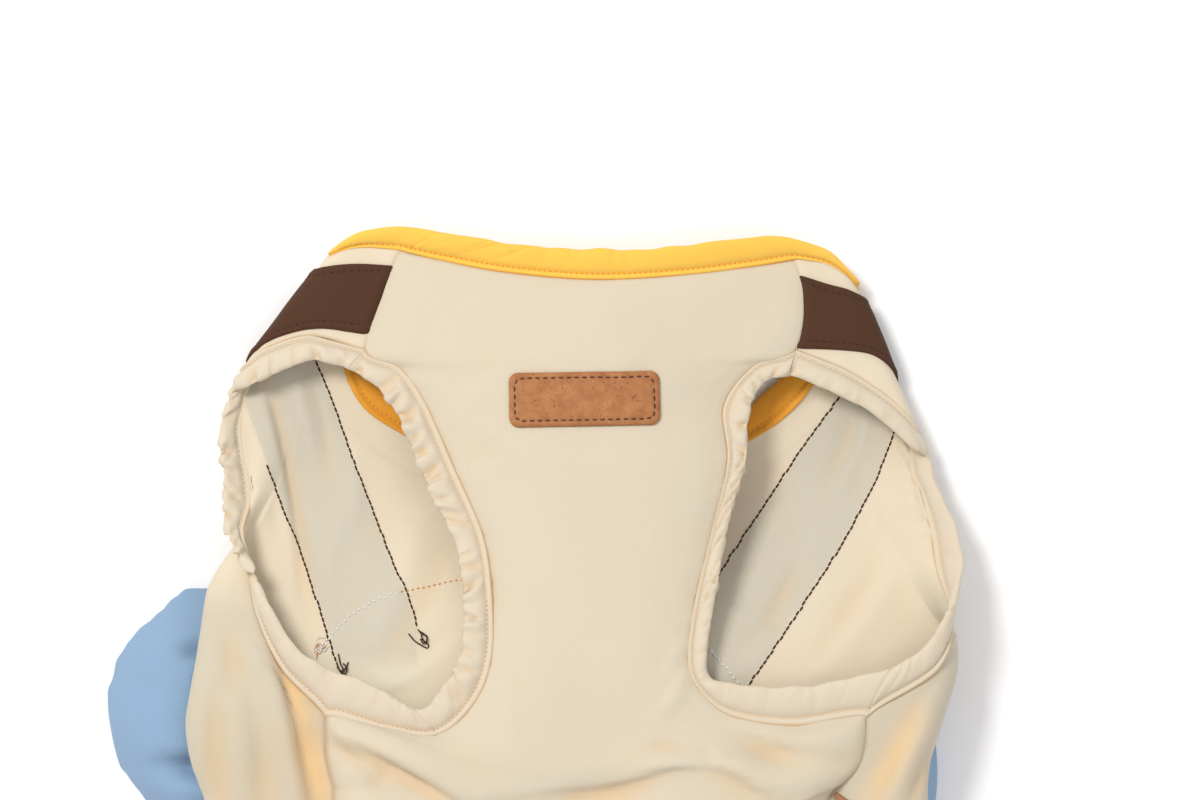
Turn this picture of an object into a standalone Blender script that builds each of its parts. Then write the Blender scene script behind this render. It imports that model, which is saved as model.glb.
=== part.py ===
"""A dog cooling vest that lies on its back with the chest side up.

The cloth panels are smooth sheets through short tables of rows, made into walls.
Lengths are in millimetres: +X is to the right of the chest, +Y towards the neck, +Z up.
The table that the vest lies on is at Z = 0, and each mesh is scaled to metres at the end.
"""

import math

import bpy
import numpy as np

MM = 0.001

# Cloth, seams and trims
PANEL_WALL = 1.2
TRIM_WALL = 1.1
STRAP_WALL = 1.4
STRAP_ACROSS = 4  # steps across a strap
SEAM_GAP = 0.5
BAND_GAP = 1.0  # between a panel's seam and the wall of a band, which meet at an angle
WAVE_HEIGHT = 0.45  # of the gathers in the armhole bindings
REST = 0.7  # lowest height of a panel's middle surface, which leaves its wall on the table
LIFT = 0.35  # clear gap between a panel and what is sewn on it
STRAP_LIFT = 0.9  # the same for a strap, which goes round the shoulder and the turn

# Front panel, from the neck seam to the hem. Each row runs from its left end to its right
# end through mid_y at the middle, and crown is how late its height falls to the ends.
FRONT_ROWS = (
    # left_x, left_y, left_z, right_x, right_y, right_z, mid_y, mid_z, crown
    (-44.0, 163.1, 12.5, 83.7, 160.2, 13.0, 153.6, 17.0, 2.0),
    (-49.5, 150.0, 13.5, 86.6, 147.5, 14.0, 145.0, 19.5, 2.0),
    (-54.9, 130.8, 14.5, 83.4, 130.8, 15.0, 131.0, 22.0, 2.2),
    (-43.7, 125.0, 15.5, 70.5, 126.0, 16.0, 121.5, 23.5, 2.4),
    (-35.6, 114.0, 17.0, 60.5, 113.0, 17.0, 111.0, 25.0, 2.6),
    (-26.4, 93.4, 20.0, 61.5, 95.0, 20.0, 93.0, 27.5, 2.8),
    (-16.8, 71.0, 24.0, 56.2, 71.0, 24.0, 71.0, 31.0, 3.0),
    (-13.9, 50.0, 28.5, 51.0, 50.0, 28.5, 50.0, 34.0, 3.0),
    (-14.2, 32.0, 32.0, 48.8, 32.0, 32.0, 30.0, 36.5, 3.0),
    (-19.5, 18.5, 33.5, 52.0, 23.0, 33.5, 15.0, 38.0, 3.0),
    (-31.0, 8.6, 34.0, 62.0, 14.6, 34.0, 5.0, 38.8, 3.0),
    (-48.0, 9.6, 33.8, 82.0, 11.4, 33.6, -3.0, 39.2, 3.4),
    (-66.5, 14.0, 32.6, 105.6, 14.0, 32.6, -10.0, 39.4, 5.0),
    (-66.2, 2.0, 31.0, 104.5, 2.0, 31.0, -20.0, 39.2, 9.0),
    (-64.4, -6.0, 30.8, 99.6, -6.0, 30.8, -25.5, 39.1, 9.6),
    (-63.5, -13.2, 30.6, 93.4, -13.2, 30.6, -31.0, 39.0, 10.0),
    (-66.0, -42.0, 30.6, 92.0, -42.0, 30.6, -50.0, 38.0, 9.0),
    (-70.0, -74.0, 27.0, 92.0, -74.0, 27.0, -77.0, 34.0, 7.0),
    (-76.0, -106.0, 17.5, 92.0, -106.0, 17.5, -107.0, 25.5, 5.0),
)
FRONT_COLUMNS = (0.0, 0.035, 0.11, 0.27, 0.5, 0.73, 0.89, 0.965, 1.0)
YOKE_ROW = 2  # the row whose ends leave the yoke seams for the armholes
SIDE_ROW = 12  # the row whose ends leave the armholes for the side seams

# Back panel: how each side leaves the bed, turns up through wrap degrees on a radius and
# runs on as a flap to its seam. A ridge and a valley shape the flap under the armhole.
LEFT_SIDE = (
    # y, turn_x, bed_z, radius, wrap, flap, ridge, valley
    (95.0, -73.0, 3.4, 12.0, 22.0, 17.8, 0.7, 0.0),
    (83.0, -79.0, 4.6, 9.0, 30.0, 10.4, 0.7, 0.0),
    (72.0, -96.0, 6.0, 4.6, 130.0, 8.6, 0.7, 0.0),
    (60.0, -98.4, 9.5, 5.0, 165.0, 9.0, 0.7, 0.0),
    (44.0, -100.4, 15.0, 6.2, 176.0, 13.0, 0.7, 0.0),
    (27.0, -102.0, 19.0, 6.8, 179.0, 22.8, 0.7, 1.5),
    (17.0, -103.0, 20.6, 7.3, 180.0, 34.0, 0.71, 3.0),
    (6.0, -103.4, 21.2, 7.5, 180.0, 36.6, 0.72, 5.5),
    (-4.0, -100.6, 21.4, 7.4, 180.0, 34.9, 0.74, 6.0),
    (-14.0, -97.8, 21.6, 7.3, 180.0, 34.2, 0.72, 6.0),
    (-42.0, -100.5, 18.0, 8.2, 180.0, 34.5, 0.74, 4.0),
    (-74.0, -97.0, 10.0, 8.6, 180.0, 27.0, 0.76, 0.5),
    (-108.0, -92.0, 3.0, 7.5, 178.0, 15.8, 0.78, 0.0),
    (-125.0, -88.0, 1.6, 7.0, 120.0, 8.0, 0.8, 0.0),
    (-172.0, -70.0, 0.8, 7.0, 20.0, 6.0, 0.8, 0.0),
)
RIGHT_SIDE = (
    (95.0, 101.0, 3.6, 12.0, 22.0, 17.0, 0.7, 0.0),
    (81.0, 105.0, 5.0, 12.0, 25.0, 16.4, 0.7, 0.0),
    (68.0, 111.0, 7.0, 10.0, 30.0, 14.2, 0.7, 0.0),
    (57.0, 118.0, 9.0, 8.0, 48.0, 8.8, 0.7, 0.0),
    (48.0, 125.5, 12.0, 7.0, 85.0, 6.6, 0.7, 0.0),
    (38.0, 128.6, 14.0, 7.0, 125.0, 4.6, 0.7, 0.0),
    (27.0, 127.6, 16.5, 6.8, 148.0, 5.6, 0.7, 0.0),
    (17.0, 124.4, 19.0, 6.8, 176.0, 14.0, 0.7, 0.0),
    (6.0, 120.4, 20.0, 6.8, 180.0, 15.6, 0.30, 1.5),
    (-4.0, 118.6, 20.6, 6.9, 180.0, 20.2, 0.36, 5.5),
    (-14.0, 118.2, 21.0, 7.0, 180.0, 24.8, 0.46, 6.0),
    (-42.0, 116.0, 18.0, 8.0, 180.0, 24.0, 0.56, 4.0),
    (-74.0, 111.0, 10.0, 8.6, 180.0, 19.0, 0.66, 0.5),
    (-108.0, 106.0, 3.0, 7.5, 178.0, 13.8, 0.78, 0.0),
    (-125.0, 101.0, 1.6, 7.0, 120.0, 8.0, 0.8, 0.0),
    (-172.0, 82.0, 0.8, 7.0, 20.0, 6.0, 0.8, 0.0),
)
ARC_STEPS = 4
FLAP_STEPS = 4
SIDE_COLUMNS = ARC_STEPS + FLAP_STEPS  # columns between a seam and the bed

# Each horn of the back panel goes over the shoulder to the yoke seam: its armhole end and
# its neck end, from the yoke round the shoulder fold and down the back layer.
LEFT_HORN = (
    # arm_x, arm_y, arm_z, neck_x, neck_y, neck_z
    (-54.9, 130.8, 14.5, -44.0, 163.1, 12.5),
    (-72.0, 135.4, 13.6, -53.0, 163.9, 12.2),
    (-86.0, 131.6, 12.6, -60.0, 163.3, 11.6),
    (-91.4, 127.8, 11.4, -64.8, 161.4, 10.2),
    (-94.4, 124.2, 7.4, -67.2, 160.2, 6.8),
    (-92.6, 120.8, 4.2, -68.4, 155.0, 3.4),
    (-94.2, 112.0, 5.2, -71.5, 142.8, 3.0),
    (-95.2, 103.5, 7.6, -76.0, 124.0, 3.0),
)
RIGHT_HORN = (
    (83.4, 130.8, 15.0, 83.7, 160.2, 13.0),
    (98.0, 125.0, 14.6, 92.5, 158.8, 12.6),
    (110.5, 117.4, 14.2, 98.6, 155.6, 12.0),
    (118.6, 110.4, 13.2, 102.0, 152.2, 10.8),
    (123.0, 103.6, 9.4, 103.8, 149.4, 7.0),
    (121.2, 100.0, 6.0, 104.4, 144.0, 3.6),
    (120.6, 96.0, 7.2, 105.6, 132.0, 3.0),
    (121.2, 90.6, 9.4, 106.0, 116.0, 3.0),
)
YOKE_HORN_ROW = 0
FOLD_ROW = 4  # the shoulder fold, where the back neckline starts
BACK_SIDE_ROW = 13  # where the back panel's sides leave the armholes for the side seams

# Back neckline seam from the left shoulder fold to the right one.
NECKLINE = (
    # x, y
    (-67.2, 160.2),
    (-59.5, 120.0),
    (-42.5, 104.2),
    (-17.0, 94.2),
    (13.0, 90.5),
    (40.0, 92.6),
    (65.0, 100.4),
    (86.5, 116.8),
    (103.8, 149.4),
)
NECKLINE_LOW_Y = 90.5
# Rows of the back panel under the horns: where a row meets its seam, its turn and the
# middle of the bed, which the last row takes to the curved hem.
BACK_ROWS = (
    # seam_y, turn_y, bed_y
    (84.0, 92.0, 56.0),
    (72.0, 77.0, 47.0),
    (60.0, 63.0, 38.0),
    (46.0, 47.0, 28.0),
    (29.0, 29.0, 18.0),
    (14.0, 12.0, 7.0),
    (2.0, 0.0, -4.0),
    (-6.0, -9.0, -12.0),
    (-13.2, -18.0, -22.0),
    (-42.0, -46.0, -48.0),
    (-74.0, -80.0, -84.0),
    (-92.0, -106.0, -124.0),
    (-105.9, -134.0, -171.0),
)
SIDE_SEAM_TOP_Y = 14.0
# Under the neckline a row first runs beside it at a distance, and then turns straight.
NEAR_NECK = (
    # distance from the neckline, share of the straight row
    (0.0, 0.0),
    (3.0, 0.0),
    (8.0, 0.05),
    (14.0, 0.2),
    (22.0, 0.45),
    (30.0, 0.7),
    (40.0, 0.9),
    (50.0, 1.0),
)
HORN_BED_Y = (87.0, 79.0, 68.0)  # middle of the bed for the horn rows under the fold
BED = (
    # y, middle_z
    (92.0, 2.8),
    (80.0, 4.4),
    (66.0, 9.6),
    (52.0, 18.0),
    (38.0, 25.0),
    (20.0, 28.2),
    (0.0, 28.8),
    (-20.0, 28.0),
    (-38.0, 24.5),
    (-56.0, 17.0),
    (-78.0, 8.0),
    (-105.0, 2.6),
    (-140.0, 0.9),
    (-172.0, 0.7),
)
BED_COLUMNS = 8  # steps across the bed

# Neck band: free edge of the ring beside chosen places of its seam.
BAND_FRONT = (
    # place along the front neck seam from left to right, x, y, z
    (0.00, -42.1, 170.6, 14.6),
    (0.20, -17.8, 166.4, 16.6),
    (0.40, 7.8, 163.6, 18.0),
    (0.58, 33.4, 163.2, 18.4),
    (0.78, 56.0, 165.4, 17.4),
    (0.94, 74.1, 167.4, 15.6),
)
BAND_RIGHT = (
    # horn row, x, y, z
    (0.0, 83.5, 166.6, 15.0),
    (1.0, 93.5, 163.0, 13.6),
    (2.0, 99.4, 157.8, 12.0),
    (3.0, 102.6, 153.6, 9.6),
)
BAND_BACK = (
    # place along the back neckline from right to left, x, y, z
    (0.0, 100.6, 150.4, 5.4),
    (0.06, 87.4, 136.3, 3.4),
    (0.125, 79.5, 122.4, 3.0),
    (0.25, 60.8, 108.4, 3.0),
    (0.375, 38.3, 101.4, 3.0),
    (0.5, 13.0, 99.5, 3.0),
    (0.625, -14.8, 102.9, 3.0),
    (0.75, -37.8, 111.9, 3.0),
    (0.875, -51.3, 123.6, 3.0),
    (0.94, -55.1, 140.3, 3.4),
    (1.0, -63.8, 158.6, 5.2),
)
BAND_LEFT = (
    (3.0, -65.4, 163.0, 9.2),
    (2.0, -60.6, 166.8, 12.2),
    (1.0, -53.6, 169.4, 13.8),
)

# Armhole bindings: free edge of each ring beside chosen places of its seam.
BINDING_LEFT_FRONT = (
    # front panel row, x, y, z
    (2.0, -60.5, 124.6, 16.0),
    (3.0, -50.5, 118.2, 17.2),
    (4.0, -44.4, 109.5, 19.0),
    (5.0, -36.4, 90.5, 22.0),
    (6.0, -26.0, 69.0, 26.0),
    (7.0, -22.9, 49.0, 30.0),
    (8.0, -24.2, 35.0, 33.2),
    (9.0, -28.8, 24.4, 34.6),
    (10.0, -37.0, 16.4, 35.2),
    (11.0, -47.2, 22.2, 35.2),
    (12.0, -60.4, 27.2, 34.6),
)
BINDING_LEFT_BACK = (
    # back panel row, x, y, z
    (13.0, -66.0, 29.8, 34.4),
    (12.0, -75.6, 35.8, 34.8),
    (11.0, -84.6, 49.0, 33.2),
    (10.0, -91.0, 60.8, 29.0),
    (9.0, -98.6, 71.2, 23.8),
    (8.0, -100.2, 84.0, 14.6),
    (7.0, -101.5, 101.0, 12.2),
    (6.0, -101.0, 108.6, 10.0),
    (5.0, -99.2, 114.4, 8.2),
    (4.0, -97.2, 117.8, 9.4),
    (3.0, -92.4, 118.6, 13.0),
    (2.0, -86.6, 121.6, 14.8),
    (1.0, -73.0, 127.2, 15.6),
)
BINDING_RIGHT_FRONT = (
    (2.0, 81.0, 122.2, 17.0),
    (3.0, 72.6, 119.4, 18.0),
    (4.0, 68.2, 110.0, 19.0),
    (5.0, 67.4, 95.6, 22.0),
    (6.0, 62.0, 78.0, 26.0),
    (7.0, 58.2, 57.0, 30.2),
    (8.0, 55.0, 38.0, 33.6),
    (9.0, 55.4, 27.6, 34.6),
    (10.0, 63.4, 24.4, 35.2),
    (11.0, 82.0, 23.8, 35.0),
    (12.0, 103.6, 26.8, 34.6),
)
BINDING_RIGHT_BACK = (
    (13.0, 112.6, 29.6, 34.6),
    (12.0, 123.6, 36.2, 34.2),
    (11.0, 132.4, 48.6, 32.6),
    (10.0, 136.6, 60.0, 24.0),
    (9.0, 135.6, 71.0, 20.2),
    (8.0, 131.2, 82.4, 17.0),
    (7.0, 128.6, 88.8, 14.8),
    (6.0, 127.4, 93.0, 12.4),
    (5.0, 126.6, 95.6, 10.2),
    (4.0, 125.4, 97.0, 11.4),
    (3.0, 120.0, 100.0, 15.2),
    (2.0, 109.6, 109.0, 17.0),
    (1.0, 95.4, 117.2, 17.2),
)

# Brown shoulder straps: shares of the horn, from its armhole end to its neck end, where a
# strap's two edges cross it, and then the edges' places along the back layer.
STRAP_HORN = {
    "left": ((0.15, 0.79), (0.08, 0.81), (0.09, 0.83), (0.08, 0.86), (0.06, 0.86)),
    "right": ((0.02, 0.77), (0.17, 0.80), (0.32, 0.86), (0.38, 0.90), (0.40, 0.93)),
}
STRAP_BACK = {
    # arm_x, arm_y, neck_x, neck_y
    "left": (
        (-92.0, 114.5, -73.5, 143.0),
        (-90.0, 104.0, -71.5, 127.5),
        (-86.6, 92.0, -66.0, 112.0),
        (-81.4, 77.5, -59.6, 95.5),
        (-75.6, 63.0, -52.6, 77.5),
        (-70.0, 50.0, -46.0, 62.0),
        (-64.2, 30.0, -37.6, 42.0),
    ),
    "right": (
        (115.4, 114.0, 104.6, 137.0),
        (114.4, 104.0, 99.6, 122.0),
        (109.6, 90.0, 89.6, 106.0),
        (103.4, 78.0, 80.0, 91.0),
        (96.6, 65.5, 69.6, 74.0),
        (89.0, 53.6, 58.6, 57.6),
        (77.0, 35.0, 46.0, 38.0),
    ),
}

# Leather label on the chest: corner to corner 48 by 17.5 mm
LABEL_CENTRE = (15.6, 115.0)
LABEL_SIZE = (48.0, 17.4)
LABEL_CORNER = 3.0
LABEL_TILT = math.radians(1.0)
LABEL_WALL = 1.6

# Back pack: a padded oval under the back panel, drawn as rings from its flat bottom to its
# top. The top keeps clear of the panel, and further outside the seam that holds the pack.
PACK_CENTRE = (-4.2, 0.6)
PACK_TILT = math.radians(-4.5)
PACK_HALF_WIDTH = 133.8
PACK_HALF_UP = 68.5
PACK_HALF_DOWN = 56.0
PACK_ROUND = 2.4  # 2 is an ellipse, more is squarer
PACK_HEIGHT = 27.0
PACK_RINGS = (
    # share of the outline, share of the height
    (0.45, 0.0),
    (0.86, 0.0),
    (0.955, 0.14),
    (1.0, 0.42),
    (0.965, 0.70),
    (0.88, 0.88),
    (0.74, 0.97),
    (0.56, 1.0),
    (0.34, 1.0),
    (0.14, 1.0),
)
PACK_AROUND = 48
PACK_CLEAR = (1.2, 3.4)  # below the middle of the back panel: inside its seam and outside
PACK_SEAM = (0.44, 0.57)  # shares of the outline between which the clearance grows

# Leather tab in the right side seam, of which a corner shows beside the front panel
TAB_ROOT = ((95.4, -9.6), (94.4, -30.0))
TAB_REACH = (8.6, -6.0)
TAB_WALL = 1.6
TAB_LIFT = 1.0

# Soft folds of the front panel: a line, its half width and its height
FRONT_FOLDS = (
    # x0, y0, x1, y1, half_width, height
    (-64.0, 1.0, -34.0, -10.0, 4.5, -2.0),
    (-58.0, 6.0, -30.0, -3.0, 4.0, 1.0),
    (-30.0, -16.0, 22.0, -9.0, 6.0, -1.4),
    (22.0, -3.0, 54.0, 3.0, 6.0, 1.3),
    (54.0, 2.0, 84.0, -12.0, 6.0, 1.6),
    (58.0, 8.0, 100.0, -4.0, 5.0, -1.4),
    (-50.0, -30.0, 10.0, -62.0, 8.0, 2.0),
    (20.0, -40.0, 78.0, -66.0, 8.0, 2.0),
)


def smooth(values, at):
    """A smooth curve through rows 0, 1, 2 ... of the values, read at the given rows."""
    values = np.asarray(values, float)
    slopes = np.gradient(values, axis=0)
    at = np.clip(np.asarray(at, float).ravel(), 0, len(values) - 1)
    row = np.minimum(at.astype(int), len(values) - 2)
    t = (at - row).reshape((-1,) + (1,) * (values.ndim - 1))
    start = (2 * t**3 - 3 * t**2 + 1) * values[row] + (t**3 - 2 * t**2 + t) * slopes[row]
    end = (3 * t**2 - 2 * t**3) * values[row + 1] + (t**3 - t**2) * slopes[row + 1]
    return start + end


def smooth_rows(net, rows, corner):
    """A net's rows, where both end columns have a corner at the given row."""
    rows = np.atleast_1d(np.asarray(rows, float))
    lines = smooth(net, rows)
    below = rows >= corner
    for column in (0, -1):
        lines[below, column] = smooth(net[corner:, column], rows[below] - corner)
    return lines


def table_at(table, y):
    """A table's other columns at a height y, smooth between its rows."""
    rows = np.array(sorted(table))
    return smooth(rows[:, 1:], np.interp(y, rows[:, 0], np.arange(len(rows))))[0]


def fold_height(folds, x, y):
    """Height that a table of soft folds adds at a point."""
    height = 0.0
    for x0, y0, x1, y1, half_width, rise in folds:
        run_x, run_y = x1 - x0, y1 - y0
        along = ((x - x0) * run_x + (y - y0) * run_y) / (run_x**2 + run_y**2)
        near = min(max(along, 0.0), 1.0)
        away = math.hypot(x - x0 - near * run_x, y - y0 - near * run_y)
        height += rise * math.exp(-((away / half_width) ** 2)) * (0.4 + 2.4 * near * (1 - near))
    return height


def front_net():
    """Control points of the front panel, row by row."""
    net = []
    for lx, ly, lz, rx, ry, rz, mid_y, mid_z, crown in FRONT_ROWS:
        row = []
        for share in FRONT_COLUMNS:
            out = abs(2 * share - 1)
            end_y, end_z = (ly, lz) if share < 0.5 else (ry, rz)
            x = lx + (rx - lx) * share
            y = mid_y + (end_y - mid_y) * out**1.8
            row.append((x, y, mid_z + (end_z - mid_z) * out**crown))
        net.append(row)
    return np.array(net)


def side_points(table, hand, seam_y, turn_y):
    """Points across one side of the back panel, from its seam to its turn on the bed."""
    points = []
    for k in range(SIDE_COLUMNS):
        y = seam_y + (turn_y - seam_y) * k / SIDE_COLUMNS
        turn_x, bed_z, radius, wrap, flap, ridge, valley = table_at(table, y)
        angle = math.radians(wrap)
        if k >= FLAP_STEPS:
            angle *= (SIDE_COLUMNS - k) / ARC_STEPS
            along, drop = 0.0, 0.0
        else:
            shares = (1.0, ridge + 0.10, ridge, 0.5 * ridge)
            along, drop = flap * shares[k], valley * (1.0, 0.9, 0.0, 0.0)[k]
        out = radius * math.sin(angle) + along * math.cos(angle)
        up = radius * (1 - math.cos(angle)) + along * math.sin(angle) - drop
        points.append((turn_x + hand * out, y, bed_z + up))
    if seam_y <= SIDE_SEAM_TOP_Y:
        points[0] = front_end(hand, seam_y)
    turn_x, bed_z = table_at(table, turn_y)[:2]
    points.append((turn_x, turn_y, bed_z))
    return points


def horn_points(row):
    """Points across a horn from its armhole end to its neck end."""
    arm, neck = np.array(row[:3]), np.array(row[3:])
    return [tuple(arm + (neck - arm) * k / SIDE_COLUMNS) for k in range(SIDE_COLUMNS + 1)]


def yoke_points(hand):
    """Points of a yoke seam, along the front panel's end from armhole to neck."""
    end = FRONT_NET[:, 0 if hand < 0 else -1]
    return [tuple(p) for p in smooth(end, np.linspace(YOKE_ROW, 0, SIDE_COLUMNS + 1))]


def neckline_sides():
    """For each point of the neckline, the direction across the seam into the cloth."""
    tangents = np.gradient(np.array(NECKLINE), axis=0)
    sides = np.stack([tangents[:, 1], -tangents[:, 0]], axis=1)
    return sides / np.linalg.norm(sides, axis=1, keepdims=True)


def bed_points(left, right, bed_y, near, straight):
    """Points across the bed between two turns: beside the neckline, or straight across."""
    points = []
    sides = neckline_sides()
    for k in range(1, BED_COLUMNS):
        share = k / BED_COLUMNS
        neck = np.array(NECKLINE[k])
        end = left if share < 0.5 else right
        top_y = NECKLINE[0][1] if share < 0.5 else NECKLINE[-1][1]
        rise = (neck[1] - NECKLINE_LOW_Y) / (top_y - NECKLINE_LOW_Y)
        across = np.array([left[0] + (right[0] - left[0]) * share, bed_y + rise * (end[1] - bed_y)])
        x, y = (neck + sides[k] * near) * (1 - straight) + across * straight
        middle_z = table_at(BED, y)[0]
        out = abs(2 * share - 1)
        points.append((x, y, middle_z + (end[2] - middle_z) * out**3))
    return points


def back_net():
    """Control points of the back panel. Above the fold row the bed columns are unused."""
    net = []
    for row, (left_row, right_row) in enumerate(zip(LEFT_HORN, RIGHT_HORN)):
        left, right = horn_points(left_row), horn_points(right_row)
        if row == YOKE_HORN_ROW:
            left, right = yoke_points(-1), yoke_points(1)
        near, straight = NEAR_NECK[max(0, row - FOLD_ROW)]
        bed_y = HORN_BED_Y[max(0, row - FOLD_ROW - 1)]
        net.append(left + bed_points(left[-1], right[-1], bed_y, near, straight) + right[::-1])
    for number, (seam_y, turn_y, bed_y) in enumerate(BACK_ROWS):
        left = side_points(LEFT_SIDE, -1, seam_y, turn_y)
        right = side_points(RIGHT_SIDE, 1, seam_y, turn_y)
        near, straight = NEAR_NECK[min(len(LEFT_HORN) + number - FOLD_ROW, len(NEAR_NECK) - 1)]
        net.append(left + bed_points(left[-1], right[-1], bed_y, near, straight) + right[::-1])
    return np.array(net)


def front_end(hand, y):
    """The point of the front panel's left or right end at a height y of the side seam."""
    end = FRONT_NET[SIDE_ROW:, 0 if hand < 0 else -1]
    fine = smooth(end, np.linspace(0, len(end) - 1, 101))
    return tuple(smooth(fine, np.interp(-y, -fine[:, 1], np.arange(len(fine))))[0])


FRONT_NET = front_net()
BACK_NET = back_net()
BACK_LEFT_TURN = SIDE_COLUMNS
BACK_RIGHT_TURN = SIDE_COLUMNS + BED_COLUMNS
BACK_LAST_COLUMN = BACK_NET.shape[1] - 1
BACK_LAST_ROW = len(BACK_NET) - 1


def front_surface(rows, columns):
    """Points of the front panel's middle surface at net rows and columns."""
    by_row = smooth_rows(FRONT_NET, rows, SIDE_ROW)
    points = smooth(by_row.transpose(1, 0, 2), columns).transpose(1, 0, 2)
    last = len(FRONT_COLUMNS) - 1
    for row in points:
        for point, column in zip(row, columns):
            inside = min(column, last - column, 1.0)
            point[2] += inside * fold_height(FRONT_FOLDS, point[0], point[1])
    return points


def back_surface(rows, columns):
    """Points of the back panel's middle surface. It has a corner where the neckline
    leaves a shoulder fold, so each of its three parts is smoothed by itself there."""
    rows = np.atleast_1d(np.asarray(rows, float))
    columns = np.atleast_1d(np.asarray(columns, float))
    by_row = smooth_rows(BACK_NET, rows, BACK_SIDE_ROW).transpose(1, 0, 2)
    whole = smooth(by_row, columns)
    parts = np.empty_like(whole)
    ends = (0, BACK_LEFT_TURN, BACK_RIGHT_TURN, BACK_LAST_COLUMN)
    for start, stop in zip(ends, ends[1:]):
        inside = (columns >= start) & (columns <= stop)
        parts[inside] = smooth(by_row[start : stop + 1], columns[inside] - start)
    blend = np.clip((rows - FOLD_ROW) / 2, 0, 1).reshape(1, -1, 1)
    points = (parts + (whole - parts) * blend).transpose(1, 0, 2)
    points[..., 2] = np.maximum(points[..., 2], REST)
    return points


def grid_faces(rows, columns, keep=None, wrap=False):
    """Quads between the points of a grid, as point numbers."""
    faces = []
    for i in range(rows - 1):
        for j in range(columns if wrap else columns - 1):
            if keep is None or keep(i, j):
                k = (j + 1) % columns
                faces.append(
                    (i * columns + j, (i + 1) * columns + j, (i + 1) * columns + k, i * columns + k)
                )
    return faces


def sheet_normals(points, faces):
    """Unit normal of each point of a sheet, from the faces round it."""
    normals = np.zeros_like(points)
    for face in faces:
        a, b, c, d = points[list(face)]
        across = np.cross(c - a, d - b)
        for corner in face:
            normals[corner] += across
    size = np.linalg.norm(normals, axis=1, keepdims=True)
    return normals / np.maximum(size, 1e-9)


def wall(name, points, faces, thickness, material, lift=0.0):
    """One closed wall about a sheet: its outer side, its inner side and its rim."""
    used = sorted({corner for face in faces for corner in face})
    number = {old: new for new, old in enumerate(used)}
    points = np.asarray(points, float)[used]
    faces = [tuple(number[corner] for corner in face) for face in faces]
    normals = sheet_normals(points, faces)
    outer = points + normals * (lift + thickness / 2)
    inner = points + normals * (lift - thickness / 2)
    count = len(points)
    edges = {}
    for face in faces:
        for a, b in zip(face, face[1:] + face[:1]):
            edges[(a, b)] = True
    rim = [(a, b) for a, b in edges if (b, a) not in edges]
    quads = list(faces)
    quads += [tuple(corner + count for corner in reversed(face)) for face in faces]
    quads += [(b, a, a + count, b + count) for a, b in rim]
    return add_mesh(name, np.vstack([outer, inner]), quads, material)


def add_mesh(name, points, faces, material):
    mesh = bpy.data.meshes.new(name)
    points = np.asarray(points, float) * MM
    mesh.from_pydata([tuple(map(float, point)) for point in points], [], faces)
    mesh.validate()
    mesh.materials.append(material)
    mesh.shade_smooth()
    mesh.set_sharp_from_angle(angle=math.radians(40))
    piece = bpy.data.objects.new(name, mesh)
    bpy.context.scene.collection.objects.link(piece)
    return piece


def finish(name, colour, roughness):
    """A plain cloth or leather finish."""
    material = bpy.data.materials.new(name)
    material.use_nodes = True
    shader = material.node_tree.nodes["Principled BSDF"]
    shader.inputs["Base Color"].default_value = (*colour, 1.0)
    shader.inputs["Roughness"].default_value = roughness
    shader.inputs["Metallic"].default_value = 0.0
    return material


def pulled_in(points, gap):
    """A grid whose four borders are drawn in by a gap."""
    points = points.copy()
    for border, beside in ((0, 1), (-1, -2)):
        for axis in (0, 1):
            edge, inner = np.take(points, border, axis), np.take(points, beside, axis)
            step = inner - edge
            size = np.linalg.norm(step, axis=1, keepdims=True)
            moved = edge + step * gap / np.maximum(size, gap)
            if axis:
                points[:, border] = moved
            else:
                points[border] = moved
    return points


def steps(start, stop, each):
    """Evenly spaced values from start to stop, with so many to each whole step."""
    return np.linspace(start, stop, int(round((stop - start) * each)) + 1)


def make_front_panel(cream):
    points = front_surface(steps(0, len(FRONT_ROWS) - 1, 2), steps(0, len(FRONT_COLUMNS) - 1, 2))
    points = pulled_in(points, SEAM_GAP)
    rows, columns = points.shape[:2]
    return wall("front_panel", points.reshape(-1, 3), grid_faces(rows, columns), PANEL_WALL, cream)


def make_back_panel(cream):
    row_at = steps(0, BACK_LAST_ROW, 2)
    column_at = np.concatenate(
        [
            steps(0, BACK_LEFT_TURN, 1),
            steps(BACK_LEFT_TURN, BACK_RIGHT_TURN, 3)[1:-1],
            steps(BACK_RIGHT_TURN, BACK_LAST_COLUMN, 1),
        ]
    )
    points = pulled_in(back_surface(row_at, column_at), SEAM_GAP)

    def in_panel(i, j):
        middle = 0.5 * (column_at[j] + column_at[j + 1])
        return row_at[i] >= FOLD_ROW or not BACK_LEFT_TURN < middle < BACK_RIGHT_TURN

    rows, columns = points.shape[:2]
    faces = grid_faces(rows, columns, in_panel)
    return wall("back_panel", points.reshape(-1, 3), faces, PANEL_WALL, cream)


def front_neck_seam(share):
    """A point of the front neck seam, from left (0) to right (1)."""
    return front_surface([0], [share * (len(FRONT_COLUMNS) - 1)])[0, 0]


def ring(stations, around):
    """Seam and free edge of a band round an opening, read between its stations.

    A station is a seam function, its argument, and the free edge's point beside it.
    """
    frees = np.array([station[2] for station in stations], float)
    places = np.arange(around) / around * len(stations)
    loop = np.vstack([frees[-2:], frees, frees[:3]])
    free = smooth(loop, places + 2)
    seam = []
    for place in places:
        k = int(place)
        (where, at, _), (next_where, next_at, _) = stations[k], stations[(k + 1) % len(stations)]
        t = place - k
        if where is next_where:
            seam.append(where(at + (next_at - at) * t))
        else:
            seam.append(where(at) * (1 - t) + next_where(next_at) * t)
    return np.array(seam), free


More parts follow.
